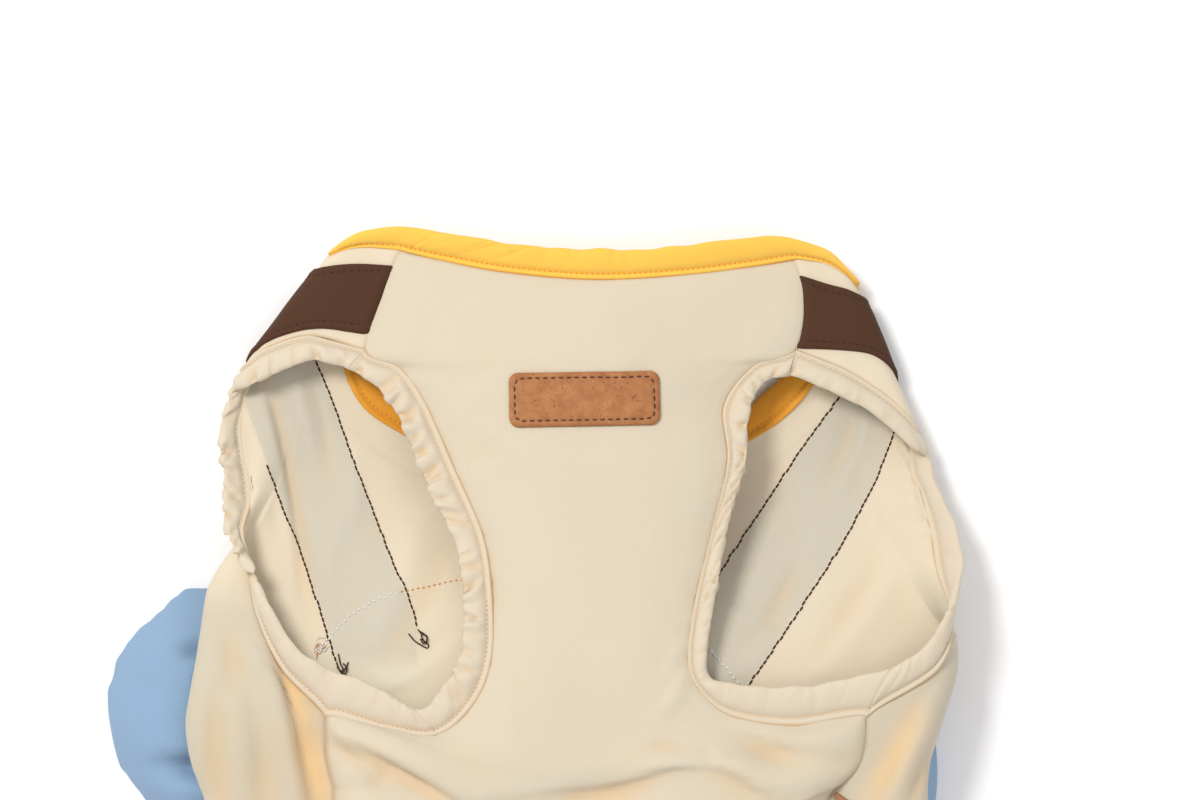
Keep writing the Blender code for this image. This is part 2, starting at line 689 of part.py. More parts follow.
def band(name, stations, around, across, bulge, waves, material):
    """A closed ring wall between a seam and a free edge, rounded across and gathered
    into small waves along it."""
    seam, free = ring(stations, around)
    side = free - seam
    along = np.roll(seam, -1, axis=0) - np.roll(seam, 1, axis=0)
    normal = np.cross(along, side)
    normal /= np.maximum(np.linalg.norm(normal, axis=1, keepdims=True), 1e-9)
    length = np.linalg.norm(side, axis=1, keepdims=True)
    start = seam + side * BAND_GAP / np.maximum(length, 1)
    turn = np.arange(around)[:, None] / around * 2 * math.pi
    swell = bulge + WAVE_HEIGHT * np.sin(waves * turn + 1.3 * np.sin(3 * turn)) * (waves > 0)
    rows = [
        start + (free - start) * share + normal * swell * math.sin(math.pi * share * 0.8)
        for share in np.linspace(0, 1, across + 1)
    ]
    points = np.array(rows).reshape(-1, 3)
    faces = grid_faces(across + 1, around, wrap=True)
    return wall(name, points, faces, TRIM_WALL, material)


def left_arm(row):
    return back_surface([row], [0])[0, 0]


def right_arm(row):
    return back_surface([row], [BACK_LAST_COLUMN])[0, 0]


def left_neck(row):
    return back_surface([row], [BACK_LEFT_TURN])[0, 0]


def right_neck(row):
    return back_surface([row], [BACK_RIGHT_TURN])[0, 0]


def back_neckline(share):
    """A point of the back neckline, from the right fold (0) to the left one (1)."""
    return back_surface([FOLD_ROW], [BACK_RIGHT_TURN - share * BED_COLUMNS])[0, 0]


def front_left_edge(row):
    return front_surface([row], [0])[0, 0]


def front_right_edge(row):
    return front_surface([row], [len(FRONT_COLUMNS) - 1])[0, 0]


def stations_of(where, table):
    return [(where, row[0], row[1:]) for row in table]


def neck_stations():
    return (
        stations_of(front_neck_seam, BAND_FRONT)
        + stations_of(right_neck, BAND_RIGHT)
        + stations_of(back_neckline, BAND_BACK)
        + stations_of(left_neck, BAND_LEFT)
    )


def binding_stations(hand):
    if hand == "left":
        front, back = (front_left_edge, BINDING_LEFT_FRONT), (left_arm, BINDING_LEFT_BACK)
    else:
        front, back = (front_right_edge, BINDING_RIGHT_FRONT), (right_arm, BINDING_RIGHT_BACK)
    return stations_of(*front) + stations_of(*back)


def place_on(surface, x, y, row, column):
    """The surface's row and column under or over a point, found from a near guess."""
    small = 0.05
    for _ in range(16):
        spots = surface([row - small, row, row + small], [column - small, column, column + small])
        here = spots[1, 1, :2]
        slopes = np.array([spots[2, 1, :2] - spots[0, 1, :2], spots[1, 2, :2] - spots[1, 0, :2]]).T
        slopes /= 2 * small
        damped = slopes.T @ slopes + 0.5 * np.eye(2)
        step = np.linalg.solve(damped, slopes.T @ (np.array([x, y]) - here))
        row += float(np.clip(step[0], -0.6, 0.6))
        column += float(np.clip(step[1], -0.6, 0.6))
    return row, column


def strap_places(hand):
    """Rows and columns of the back panel under a strap, along it and across it."""
    grid = []
    for row, shares in enumerate(STRAP_HORN[hand]):
        across = np.linspace(*shares, STRAP_ACROSS + 1) * SIDE_COLUMNS
        grid.append([(row, BACK_LAST_COLUMN - c if hand == "right" else c) for c in across])
    rows = steps(FOLD_ROW + 1, FOLD_ROW + 9, 2)
    columns = steps(ARC_STEPS, BACK_LAST_COLUMN - ARC_STEPS, 2)
    bed = back_surface(rows, columns)[..., :2]
    for arm_x, arm_y, neck_x, neck_y in STRAP_BACK[hand]:
        places = []
        for share in np.linspace(0, 1, STRAP_ACROSS + 1):
            spot = (arm_x + (neck_x - arm_x) * share, arm_y + (neck_y - arm_y) * share)
            i, j = divmod(int(np.linalg.norm(bed - spot, axis=2).argmin()), len(columns))
            places.append(place_on(back_surface, *spot, rows[i], columns[j]))
        grid.append(places)
    return np.array(grid)


def make_strap(hand, brown):
    """A strap on the outside of the back panel, from the yoke over the shoulder."""
    places = strap_places(hand)
    places = smooth(places, steps(0, len(places) - 1, 2))
    points = np.array([[back_surface([r], [c])[0, 0] for r, c in line] for line in places])
    if hand == "right":
        points = points[:, ::-1]
    points = pulled_in(points, SEAM_GAP)
    faces = grid_faces(*points.shape[:2])
    lift = -(PANEL_WALL / 2 + STRAP_LIFT + STRAP_WALL / 2)
    return wall(f"shoulder_strap_{hand}", points.reshape(-1, 3), faces, STRAP_WALL, brown, lift)


def make_label(tan):
    """The leather label, with round corners, on the middle of the chest."""
    half_width, half_height = LABEL_SIZE[0] / 2, LABEL_SIZE[1] / 2
    corner = [LABEL_CORNER * math.sin(math.radians(a)) for a in (90, 60, 30, 0)]
    flat = half_width - LABEL_CORNER
    across = [-flat - c for c in corner] + list(np.linspace(-flat, flat, 7)[1:-1])
    across += [flat + c for c in reversed(corner)]
    points = []
    for v in np.linspace(1, -1, 5):
        line = []
        for u in across:
            beyond = max(0.0, abs(u) - flat)
            drop = LABEL_CORNER - math.sqrt(max(0.0, LABEL_CORNER**2 - beyond**2))
            w = v * (half_height - drop)
            x = LABEL_CENTRE[0] + u * math.cos(LABEL_TILT) - w * math.sin(LABEL_TILT)
            y = LABEL_CENTRE[1] + u * math.sin(LABEL_TILT) + w * math.cos(LABEL_TILT)
            row, column = place_on(front_surface, x, y, 3.7, 4.0)
            line.append(front_surface([row], [column])[0, 0])
        points.append(line)
    points = np.array(points)
    faces = grid_faces(*points.shape[:2])
    lift = PANEL_WALL / 2 + LIFT + LABEL_WALL / 2
    return wall("leather_label", points.reshape(-1, 3), faces, LABEL_WALL, tan, lift)


def make_tab(tan):
    """The side tab: sewn into the right side seam and lying on the back panel's flap."""
    (top_x, top_y), (low_x, low_y) = TAB_ROOT
    points = []
    for v in np.linspace(0, 1, 5):
        line = []
        for u in np.linspace(0, 1, 4):
            x = top_x + (low_x - top_x) * v + TAB_REACH[0] * u
            y = top_y + (low_y - top_y) * v + TAB_REACH[1] * u
            row, column = place_on(back_surface, x, y, 16.3, BACK_LAST_COLUMN - 0.5)
            line.append(back_surface([row], [column])[0, 0])
        points.append(line)
    points = np.array(points)
    faces = grid_faces(*points.shape[:2])
    lift = PANEL_WALL / 2 + TAB_LIFT + TAB_WALL / 2
    return wall("side_tab", points.reshape(-1, 3), faces, TAB_WALL, tan, lift)


def bed_samples():
    """Points spread over the back panel's bed and its two turns."""
    rows = steps(FOLD_ROW + 1, BACK_LAST_ROW, 4)
    columns = steps(ARC_STEPS + 2, BACK_LAST_COLUMN - ARC_STEPS - 2, 3)
    return back_surface(rows, columns).reshape(-1, 3)


def bed_height(samples, x, y):
    """Lowest height of the bed near a point, or at the nearest point of it."""
    away = np.hypot(samples[:, 0] - x, samples[:, 1] - y)
    close = away < max(4.0, away.min() + 1.0)
    return samples[close, 2].min()


def pack_point(samples, turn, share, height):
    """A point of the pack: a share of its outline in one direction, and of its height."""
    cos, sin = math.cos(turn), math.sin(turn)
    half_y = PACK_HALF_UP if sin > 0 else PACK_HALF_DOWN
    reach = (abs(cos / PACK_HALF_WIDTH) ** PACK_ROUND + abs(sin / half_y) ** PACK_ROUND) ** (
        -1 / PACK_ROUND
    )
    u, v = reach * share * cos, reach * share * sin
    x = PACK_CENTRE[0] + u * math.cos(PACK_TILT) - v * math.sin(PACK_TILT)
    y = PACK_CENTRE[1] + u * math.sin(PACK_TILT) + v * math.cos(PACK_TILT)
    clear = np.interp(share, PACK_SEAM, PACK_CLEAR)
    return x, y, height * min(PACK_HEIGHT, bed_height(samples, x, y) - clear)


def make_pack(blue):
    rings = []
    samples = bed_samples()
    for share, height in PACK_RINGS:
        turns = [2 * math.pi * k / PACK_AROUND for k in range(PACK_AROUND)]
        rings.append([pack_point(samples, turn, share, height) for turn in turns])
    points = [point for ring_points in rings for point in ring_points]
    faces = grid_faces(len(rings), PACK_AROUND, wrap=True)
    bottom = tuple(range(PACK_AROUND))
    top = tuple(reversed([(len(rings) - 1) * PACK_AROUND + k for k in range(PACK_AROUND)]))
    faces = [tuple(reversed(face)) for face in faces]
    faces += [tuple(reversed(bottom)), tuple(reversed(top))]
    return add_mesh("back_pack", points, faces, blue)


def clear_scene():
    for piece in list(bpy.data.objects):
        bpy.data.objects.remove(piece, do_unlink=True)


def main():
    clear_scene()
    cream = finish("cream knit", (0.84, 0.74, 0.56), 0.85)
    yellow = finish("yellow knit", (0.93, 0.55, 0.09), 0.8)
    brown = finish("brown twill", (0.09, 0.042, 0.024), 0.8)
    blue = finish("blue twill", (0.35, 0.51, 0.72), 0.85)
    tan = finish("tan leather", (0.52, 0.26, 0.13), 0.6)
    make_front_panel(cream)
    make_back_panel(cream)
    band("neck_band", neck_stations(), 88, 2, 0.8, 0, yellow)
    band("armhole_binding_left", binding_stations("left"), 120, 2, 0.8, 24, cream)
    band("armhole_binding_right", binding_stations("right"), 120, 2, 0.8, 24, cream)
    make_strap("left", brown)
    make_strap("right", brown)
    make_label(tan)
    make_tab(tan)
    make_pack(blue)


main()
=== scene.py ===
"""The looks of a dog cooling vest that lies on its back with the chest side up.

The cloth pieces are thin shells through the same tables of rows as the solids they stand
for, with creases, rolled seams, gathers and stitches. Tables are in millimetres: +X is to
the right of the chest, +Y towards the neck, +Z up from the table at Z = 0.
"""

import math

import bmesh
import bpy
import numpy as np
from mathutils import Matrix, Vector
from mathutils.bvhtree import BVHTree


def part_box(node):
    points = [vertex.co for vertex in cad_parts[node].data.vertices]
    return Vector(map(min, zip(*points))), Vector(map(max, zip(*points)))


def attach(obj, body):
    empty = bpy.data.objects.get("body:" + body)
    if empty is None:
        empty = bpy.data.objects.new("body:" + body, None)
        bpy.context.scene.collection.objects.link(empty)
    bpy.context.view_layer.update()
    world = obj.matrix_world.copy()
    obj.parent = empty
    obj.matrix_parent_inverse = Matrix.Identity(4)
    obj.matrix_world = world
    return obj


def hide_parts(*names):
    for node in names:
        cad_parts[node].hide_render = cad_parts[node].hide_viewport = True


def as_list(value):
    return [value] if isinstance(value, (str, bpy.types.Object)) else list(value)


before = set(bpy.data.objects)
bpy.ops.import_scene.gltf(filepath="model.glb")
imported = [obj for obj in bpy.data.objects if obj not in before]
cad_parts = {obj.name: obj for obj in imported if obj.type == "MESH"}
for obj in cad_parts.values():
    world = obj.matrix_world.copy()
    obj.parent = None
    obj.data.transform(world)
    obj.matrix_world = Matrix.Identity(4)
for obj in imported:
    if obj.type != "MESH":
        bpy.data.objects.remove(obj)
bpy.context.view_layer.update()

MM = 0.001
BODY = "root"
UV_PER_MM = 0.01  # one UV unit is 100 mm of cloth
CLOTH = 0.7  # thickness of one layer of the knit
PANEL_STEP = 1.5  # between the points of a panel
TABLE_CLEAR = 0.1  # between the table and the lowest cloth
REST = 0.7  # lowest height of a panel's middle surface

# Front panel, from the neck seam to the hem. Each row runs from its left end to its right
# end through mid_y at the middle, and crown is how late its height falls to the ends.
FRONT_ROWS = (
    # left_x, left_y, left_z, right_x, right_y, right_z, mid_y, mid_z, crown
    (-44, 163.1, 12.5, 83.7, 160.2, 13, 153.6, 17, 2),
    (-49.5, 150, 13.5, 86.6, 147.5, 14, 145, 19.5, 2),
    (-54.9, 130.8, 14.5, 83.4, 130.8, 15, 131, 22, 2.2),
    (-43.7, 125, 15.5, 70.5, 126, 16, 121.5, 23.5, 2.4),
    (-35.6, 114, 17, 60.5, 113, 17, 111, 25, 2.6),
    (-26.4, 93.4, 20, 61.5, 95, 20, 93, 27.5, 2.8),
    (-16.8, 71, 24, 56.2, 71, 24, 71, 31, 3),
    (-13.9, 50, 28.5, 51, 50, 28.5, 50, 34, 3),
    (-14.2, 32, 32, 48.8, 32, 32, 30, 36.5, 3),
    (-19.5, 18.5, 33.5, 52, 23, 33.5, 15, 38, 3),
    (-31, 8.6, 34, 62, 14.6, 34, 5, 38.8, 3),
    (-48, 9.6, 33.8, 82, 11.4, 33.6, -3, 39.2, 3.4),
    (-66.5, 14, 32.6, 105.6, 14, 32.6, -10, 39.4, 5),
    (-66.2, 2, 31, 104.5, 2, 31, -20, 39.2, 9),
    (-64.4, -6, 30.8, 99.6, -6, 30.8, -25.5, 39.1, 9.6),
    (-63.5, -13.2, 30.6, 93.4, -13.2, 30.6, -31, 39, 10),
    (-66, -42, 30.6, 92, -42, 30.6, -50, 38, 9),
    (-70, -74, 27, 92, -74, 27, -77, 34, 7),
    (-76, -106, 17.5, 92, -106, 17.5, -107, 25.5, 5),
)
FRONT_COLUMNS = (0.0, 0.035, 0.11, 0.27, 0.5, 0.73, 0.89, 0.965, 1.0)
FRONT_LAST_COLUMN = len(FRONT_COLUMNS) - 1
YOKE_ROW = 2  # the row whose ends leave the yoke seams for the armholes
SIDE_ROW = 12  # the row whose ends leave the armholes for the side seams

# Back panel: how each side leaves the bed, turns up through wrap degrees on a radius and
# runs on as a flap to its seam. A ridge and a valley shape the flap under the armhole.
LEFT_SIDE = (
    # y, turn_x, bed_z, radius, wrap, flap, ridge, valley
    (95, -73, 3.4, 12, 22, 17.8, 0.7, 0),
    (83, -79, 4.6, 9, 30, 10.4, 0.7, 0),
    (72, -96, 6, 4.6, 130, 8.6, 0.7, 0),
    (60, -98.4, 9.5, 5, 165, 9, 0.7, 0),
    (44, -100.4, 15, 6.2, 176, 13, 0.7, 0),
    (27, -102, 19, 6.8, 179, 22.8, 0.7, 1.5),
    (17, -103, 20.6, 7.3, 180, 34, 0.71, 3),
    (6, -103.4, 21.2, 7.5, 180, 36.6, 0.72, 5.5),
    (-4, -100.6, 21.4, 7.4, 180, 34.9, 0.74, 6),
    (-14, -97.8, 21.6, 7.3, 180, 34.2, 0.72, 6),
    (-42, -100.5, 18, 8.2, 180, 34.5, 0.74, 4),
    (-74, -97, 10, 8.6, 180, 27, 0.76, 0.5),
    (-108, -92, 3, 7.5, 178, 15.8, 0.78, 0),
    (-125, -88, 1.6, 7, 120, 8, 0.8, 0),
    (-172, -70, 0.8, 7, 20, 6, 0.8, 0),
)
RIGHT_SIDE = (
    (95, 101, 3.6, 12, 22, 17, 0.7, 0),
    (81, 105, 5, 12, 25, 16.4, 0.7, 0),
    (68, 111, 7, 10, 30, 14.2, 0.7, 0),
    (57, 118, 9, 8, 48, 8.8, 0.7, 0),
    (48, 125.5, 12, 7, 85, 6.6, 0.7, 0),
    (38, 128.6, 14, 7, 125, 4.6, 0.7, 0),
    (27, 127.6, 16.5, 6.8, 148, 5.6, 0.7, 0),
    (17, 124.4, 19, 6.8, 176, 14, 0.7, 0),
    (6, 120.4, 20, 6.8, 180, 15.6, 0.30, 1.5),
    (-4, 118.6, 20.6, 6.9, 180, 20.2, 0.36, 5.5),
    (-14, 118.2, 21, 7, 180, 24.8, 0.46, 6),
    (-42, 116, 18, 8, 180, 24, 0.56, 4),
    (-74, 111, 10, 8.6, 180, 19, 0.66, 0.5),
    (-108, 106, 3, 7.5, 178, 13.8, 0.78, 0),
    (-125, 101, 1.6, 7, 120, 8, 0.8, 0),
    (-172, 82, 0.8, 7, 20, 6, 0.8, 0),
)
ARC_STEPS = 4
FLAP_STEPS = 4
SIDE_COLUMNS = ARC_STEPS + FLAP_STEPS  # columns between a seam and the bed

# Each horn of the back panel goes over the shoulder to the yoke seam: its armhole end and
# its neck end, from the yoke round the shoulder fold and down the back layer.
LEFT_HORN = (
    # arm_x, arm_y, arm_z, neck_x, neck_y, neck_z
    (-54.9, 130.8, 14.5, -44, 163.1, 12.5),
    (-72, 135.4, 13.6, -53, 163.9, 12.2),
    (-86, 131.6, 12.6, -60, 163.3, 11.6),
    (-91.4, 127.8, 11.4, -64.8, 161.4, 10.2),
    (-94.4, 124.2, 7.4, -67.2, 160.2, 6.8),
    (-92.6, 120.8, 4.2, -68.4, 155, 3.4),
    (-94.2, 112, 5.2, -71.5, 142.8, 3),
    (-95.2, 103.5, 7.6, -76, 124, 3),
)
RIGHT_HORN = (
    (83.4, 130.8, 15, 83.7, 160.2, 13),
    (98, 125, 14.6, 92.5, 158.8, 12.6),
    (110.5, 117.4, 14.2, 98.6, 155.6, 12),
    (118.6, 110.4, 13.2, 102, 152.2, 10.8),
    (123, 103.6, 9.4, 103.8, 149.4, 7),
    (121.2, 100, 6, 104.4, 144, 3.6),
    (120.6, 96, 7.2, 105.6, 132, 3),
    (121.2, 90.6, 9.4, 106, 116, 3),
)
YOKE_HORN_ROW = 0
FOLD_ROW = 4  # the shoulder fold, where the back neckline starts
BACK_SIDE_ROW = 13  # where the back panel's sides leave the armholes for the side seams

# Back neckline seam from the left shoulder fold to the right one.
NECKLINE = (
    # x, y
    (-67.2, 160.2), (-59.5, 120), (-42.5, 104.2), (-17, 94.2), (13, 90.5), (40, 92.6), (65, 100.4),
    (86.5, 116.8), (103.8, 149.4),
)
NECKLINE_LOW_Y = 90.5
# Rows of the back panel under the horns: where a row meets its seam, its turn and the
# middle of the bed, which the last row takes to the curved hem.
BACK_ROWS = (
    # seam_y, turn_y, bed_y
    (84, 92, 56), (72, 77, 47), (60, 63, 38), (46, 47, 28), (29, 29, 18), (14, 12, 7), (2, 0, -4),
    (-6, -9, -12), (-13.2, -18, -22), (-42, -46, -48), (-74, -80, -84), (-92, -106, -124),
    (-105.9, -134, -171),
)
SIDE_SEAM_TOP_Y = 14.0
# Under the neckline a row first runs beside it at a distance, and then turns straight.
NEAR_NECK = (
    # distance from the neckline, share of the straight row
    (0, 0), (3, 0), (8, 0.05), (14, 0.2), (22, 0.45), (30, 0.7), (40, 0.9), (50, 1),
)
HORN_BED_Y = (87.0, 79.0, 68.0)  # middle of the bed for the horn rows under the fold
BED = (
    # y, middle_z
    (92, 2.8), (80, 4.4), (66, 9.6), (52, 18), (38, 25), (20, 28.2), (0, 28.8), (-20, 28),
    (-38, 24.5), (-56, 17), (-78, 8), (-105, 2.6), (-140, 0.9), (-172, 0.7),
)
BED_COLUMNS = 8  # steps across the bed

# Neck band: free edge of the ring beside chosen places of its seam.
BAND_FRONT = (
    # place along the front neck seam from left to right, x, y, z
    (0, -42.1, 170.6, 14.6), (0.20, -17.8, 166.4, 16.6), (0.40, 7.8, 163.6, 18),
    (0.58, 33.4, 163.2, 18.4), (0.78, 56, 165.4, 17.4), (0.94, 74.1, 167.4, 15.6),
)
BAND_RIGHT = (
    # horn row, x, y, z
    (0, 83.5, 166.6, 15), (1, 93.5, 163, 13.6), (2, 99.4, 157.8, 12), (3, 102.6, 153.6, 9.6),
)
BAND_BACK = (
    # place along the back neckline from right to left, x, y, z
    (0, 100.6, 150.4, 5.4), (0.06, 87.4, 136.3, 3.4), (0.125, 79.5, 122.4, 3),
    (0.25, 60.8, 108.4, 3), (0.375, 38.3, 101.4, 3), (0.5, 13, 99.5, 3), (0.625, -14.8, 102.9, 3),
    (0.75, -37.8, 111.9, 3), (0.875, -51.3, 123.6, 3), (0.94, -55.1, 140.3, 3.4),
    (1, -63.8, 158.6, 5.2),
)
BAND_LEFT = (
    (3, -65.4, 163, 9.2), (2, -60.6, 166.8, 12.2), (1, -53.6, 169.4, 13.8),
)

# Armhole bindings: free edge of each ring beside chosen places of its seam.
BINDING_LEFT_FRONT = (
    # front panel row, x, y, z
    (2, -60.5, 124.6, 16), (3, -50.5, 118.2, 17.2), (4, -44.4, 109.5, 19), (5, -36.4, 90.5, 22),
    (6, -26, 69, 26), (7, -22.9, 49, 30), (8, -24.2, 35, 33.2), (9, -28.8, 24.4, 34.6),
    (10, -37, 16.4, 35.2), (11, -47.2, 22.2, 35.2), (12, -60.4, 27.2, 34.6),
)
BINDING_LEFT_BACK = (
    # back panel row, x, y, z
    (13, -66, 29.8, 34.4), (12, -75.6, 35.8, 34.8), (11, -84.6, 49, 33.2), (10, -91, 60.8, 29),
    (9, -98.6, 71.2, 23.8), (8, -100.2, 84, 14.6), (7, -101.5, 101, 12.2), (6, -101, 108.6, 10),
    (5, -99.2, 114.4, 8.2), (4, -97.2, 117.8, 9.4), (3, -92.4, 118.6, 13), (2, -86.6, 121.6, 14.8),
    (1, -73, 127.2, 15.6),
)
BINDING_RIGHT_FRONT = (
    (2, 81, 122.2, 17), (3, 72.6, 119.4, 18), (4, 68.2, 110, 19), (5, 67.4, 95.6, 22),
    (6, 62, 78, 26), (7, 58.2, 57, 30.2), (8, 55, 38, 33.6), (9, 55.4, 27.6, 34.6),
    (10, 63.4, 24.4, 35.2), (11, 82, 23.8, 35), (12, 103.6, 26.8, 34.6),
)
BINDING_RIGHT_BACK = (
    (13, 112.6, 29.6, 34.6), (12, 123.6, 36.2, 34.2), (11, 132.4, 48.6, 32.6), (10, 136.6, 60, 24),
    (9, 135.6, 71, 20.2), (8, 131.2, 82.4, 17), (7, 128.6, 88.8, 14.8), (6, 127.4, 93, 12.4),
    (5, 126.6, 95.6, 10.2), (4, 125.4, 97, 11.4), (3, 120, 100, 15.2), (2, 109.6, 109, 17),
    (1, 95.4, 117.2, 17.2),
)

# Brown shoulder straps: shares of the horn, from its armhole end to its neck end, where a
# strap's two edges cross it, and then the edges' places along the back layer.
STRAP_HORN = {
    "left": ((0.15, 0.79), (0.08, 0.81), (0.09, 0.83), (0.08, 0.86), (0.06, 0.86)),
    "right": ((0.02, 0.77), (0.17, 0.80), (0.32, 0.86), (0.38, 0.90), (0.40, 0.93)),
}
STRAP_BACK = {
    # arm_x, arm_y, neck_x, neck_y
    "left": (
        (-92, 114.5, -73.5, 143), (-90, 104, -71.5, 127.5), (-86.6, 92, -66, 112),
        (-81.4, 77.5, -59.6, 95.5), (-75.6, 63, -52.6, 77.5), (-70, 50, -46, 62),
        (-64.2, 30, -37.6, 42),
    ),
    "right": (
        (115.4, 114, 104.6, 137), (114.4, 104, 99.6, 122), (109.6, 90, 89.6, 106),
        (103.4, 78, 80, 91), (96.6, 65.5, 69.6, 74), (89, 53.6, 58.6, 57.6), (77, 35, 46, 38),
    ),
}

# Leather label on the chest
LABEL_CENTRE = (15.6, 115.0)
LABEL_SIZE = (48.0, 17.4)
LABEL_CORNER = 3.0
LABEL_TILT = math.radians(1.0)

# Back pack: the outline of a padded oval under the back panel
PACK_CENTRE = (-4.2, 0.6)
PACK_TILT = math.radians(-4.5)
PACK_HALF_WIDTH = 133.8
PACK_HALF_UP = 68.5
PACK_HALF_DOWN = 56.0
PACK_ROUND = 2.4  # 2 is an ellipse, more is squarer

# Leather tab in the right side seam, of which a corner shows beside the front panel
TAB_ROOT = ((95.4, -9.6), (94.4, -30.0))
TAB_REACH = (8.6, -6.0)

# Soft folds of the front panel: a line, its half width and its height
FRONT_FOLDS = (
    # x0, y0, x1, y1, half_width, height
    (-64, 1, -34, -10, 4.5, -2),
    (-58, 6, -30, -3, 4, 1),
    (-30, -16, 22, -9, 6, -1.4),
    (22, -3, 54, 3, 6, 1.3),
    (54, 2, 84, -12, 6, 1.6),
    (58, 8, 100, -4, 5, -1.4),
    (-50, -30, 10, -62, 8, 2),
    (20, -40, 78, -66, 8, 2),
)


def held(values):
    """Values held between 0 and 1."""
    return np.clip(values, 0, 1)


def bell(away):
    """1 at a distance of 0, fading smoothly to both sides."""
    return np.exp(-(away**2))


def unit(vectors):
    """Vectors along the last axis, each made 1 long."""
    return vectors / np.maximum(np.linalg.norm(vectors, axis=-1, keepdims=True), 1e-9)


def shorter_way(difference, turn):
    """A difference of two places on a ring of a given length, by the shorter way round."""
    return (difference + turn / 2) % turn - turn / 2


def run_along(points):
    """The length along a line of points up to each of them."""
    return np.concatenate([[0.0], np.cumsum(np.linalg.norm(np.diff(points, axis=0), axis=1))])


def mean_run(grid, axis):
    """The mean length over a grid up to each of its rows (axis 0) or columns (axis 1)."""
    steps = np.linalg.norm(np.diff(grid, axis=axis), axis=2).mean(axis=1 - axis)
    return np.concatenate([[0.0], np.cumsum(steps)])


def read_along(line, run, marks):
    """The values of a line at marks along its length."""
    return np.stack([np.interp(marks, run, values) for values in line.T], axis=1)


def evenly(points, count):
    """Evenly spaced points along a line of points."""
    points = np.array(points)
    run = run_along(points)
    return read_along(points, run, np.linspace(0, run[-1], count))


def cubic(t, low, high, low_slope, high_slope):
    """Smooth values from low (t = 0) to high (t = 1), with a slope at each."""
    start = (2 * t**3 - 3 * t**2 + 1) * low + (t**3 - 2 * t**2 + t) * low_slope
    end = (3 * t**2 - 2 * t**3) * high + (t**3 - t**2) * high_slope
    return start + end


def smooth(values, at):
    """A smooth curve through rows 0, 1, 2 ... of the values, read at the given rows."""
    values = np.asarray(values, float)
    slopes = np.gradient(values, axis=0)
    at = np.clip(np.asarray(at, float).ravel(), 0, len(values) - 1)
    row = np.minimum(at.astype(int), len(values) - 2)
    t = (at - row).reshape((-1,) + (1,) * (values.ndim - 1))
    return cubic(t, values[row], values[row + 1], slopes[row], slopes[row + 1])


def smooth_rows(net, rows, corner):
    """A net's rows, where both end columns have a corner at the given row."""
    rows = np.atleast_1d(np.asarray(rows, float))
    lines = smooth(net, rows)
    below = rows >= corner
    for column in (0, -1):
        lines[below, column] = smooth(net[corner:, column], rows[below] - corner)
    return lines


def table_at(table, y):
    """A table's other columns at a height y, smooth between its rows."""
    rows = np.array(sorted(table))
    return smooth(rows[:, 1:], np.interp(y, rows[:, 0], np.arange(len(rows))))[0]


def front_net():
    """Control points of the front panel, row by row."""
    net = []
    for lx, ly, lz, rx, ry, rz, mid_y, mid_z, crown in FRONT_ROWS:
        row = []
        for share in FRONT_COLUMNS:
            out = abs(2 * share - 1)
            end_y, end_z = (ly, lz) if share < 0.5 else (ry, rz)
            x = lx + (rx - lx) * share
            y = mid_y + (end_y - mid_y) * out**1.8
            row.append((x, y, mid_z + (end_z - mid_z) * out**crown))
        net.append(row)
    return np.array(net)


def side_points(table, hand, seam_y, turn_y):
    """Points across one side of the back panel, from its seam to its turn on the bed."""
    points = []
    for k in range(SIDE_COLUMNS):
        y = seam_y + (turn_y - seam_y) * k / SIDE_COLUMNS
        turn_x, bed_z, radius, wrap, flap, ridge, valley = table_at(table, y)
        angle = math.radians(wrap)
        if k >= FLAP_STEPS:
            angle *= (SIDE_COLUMNS - k) / ARC_STEPS
            along, drop = 0.0, 0.0
        else:
            shares = (1.0, ridge + 0.10, ridge, 0.5 * ridge)
            along, drop = flap * shares[k], valley * (1.0, 0.9, 0.0, 0.0)[k]
        out = radius * math.sin(angle) + along * math.cos(angle)
        up = radius * (1 - math.cos(angle)) + along * math.sin(angle) - drop
        points.append((turn_x + hand * out, y, bed_z + up))
    if seam_y <= SIDE_SEAM_TOP_Y:
        points[0] = front_end(hand, seam_y)
    turn_x, bed_z = table_at(table, turn_y)[:2]
    points.append((turn_x, turn_y, bed_z))
    return points


def horn_points(row):
    """Points across a horn from its armhole end to its neck end."""
    arm, neck = np.array(row[:3]), np.array(row[3:])
    return [tuple(arm + (neck - arm) * k / SIDE_COLUMNS) for k in range(SIDE_COLUMNS + 1)]


def yoke_points(hand):
    """Points of a yoke seam, along the front panel's end from armhole to neck."""
    end = FRONT_NET[:, 0 if hand < 0 else -1]
    return [tuple(p) for p in smooth(end, np.linspace(YOKE_ROW, 0, SIDE_COLUMNS + 1))]


def neckline_sides():
    """For each point of the neckline, the direction across the seam into the cloth."""
    tangents = np.gradient(np.array(NECKLINE), axis=0)
    return unit(np.stack([tangents[:, 1], -tangents[:, 0]], axis=1))


def bed_points(left, right, bed_y, near, straight):
    """Points across the bed between two turns: beside the neckline, or straight across."""
    points = []
    sides = neckline_sides()
    for k in range(1, BED_COLUMNS):
        share = k / BED_COLUMNS
        neck = np.array(NECKLINE[k])
        end = left if share < 0.5 else right
        top_y = NECKLINE[0][1] if share < 0.5 else NECKLINE[-1][1]
        rise = (neck[1] - NECKLINE_LOW_Y) / (top_y - NECKLINE_LOW_Y)
        across = np.array([left[0] + (right[0] - left[0]) * share, bed_y + rise * (end[1] - bed_y)])
        x, y = (neck + sides[k] * near) * (1 - straight) + across * straight
        middle_z = table_at(BED, y)[0]
        out = abs(2 * share - 1)
        points.append((x, y, middle_z + (end[2] - middle_z) * out**3))
    return points


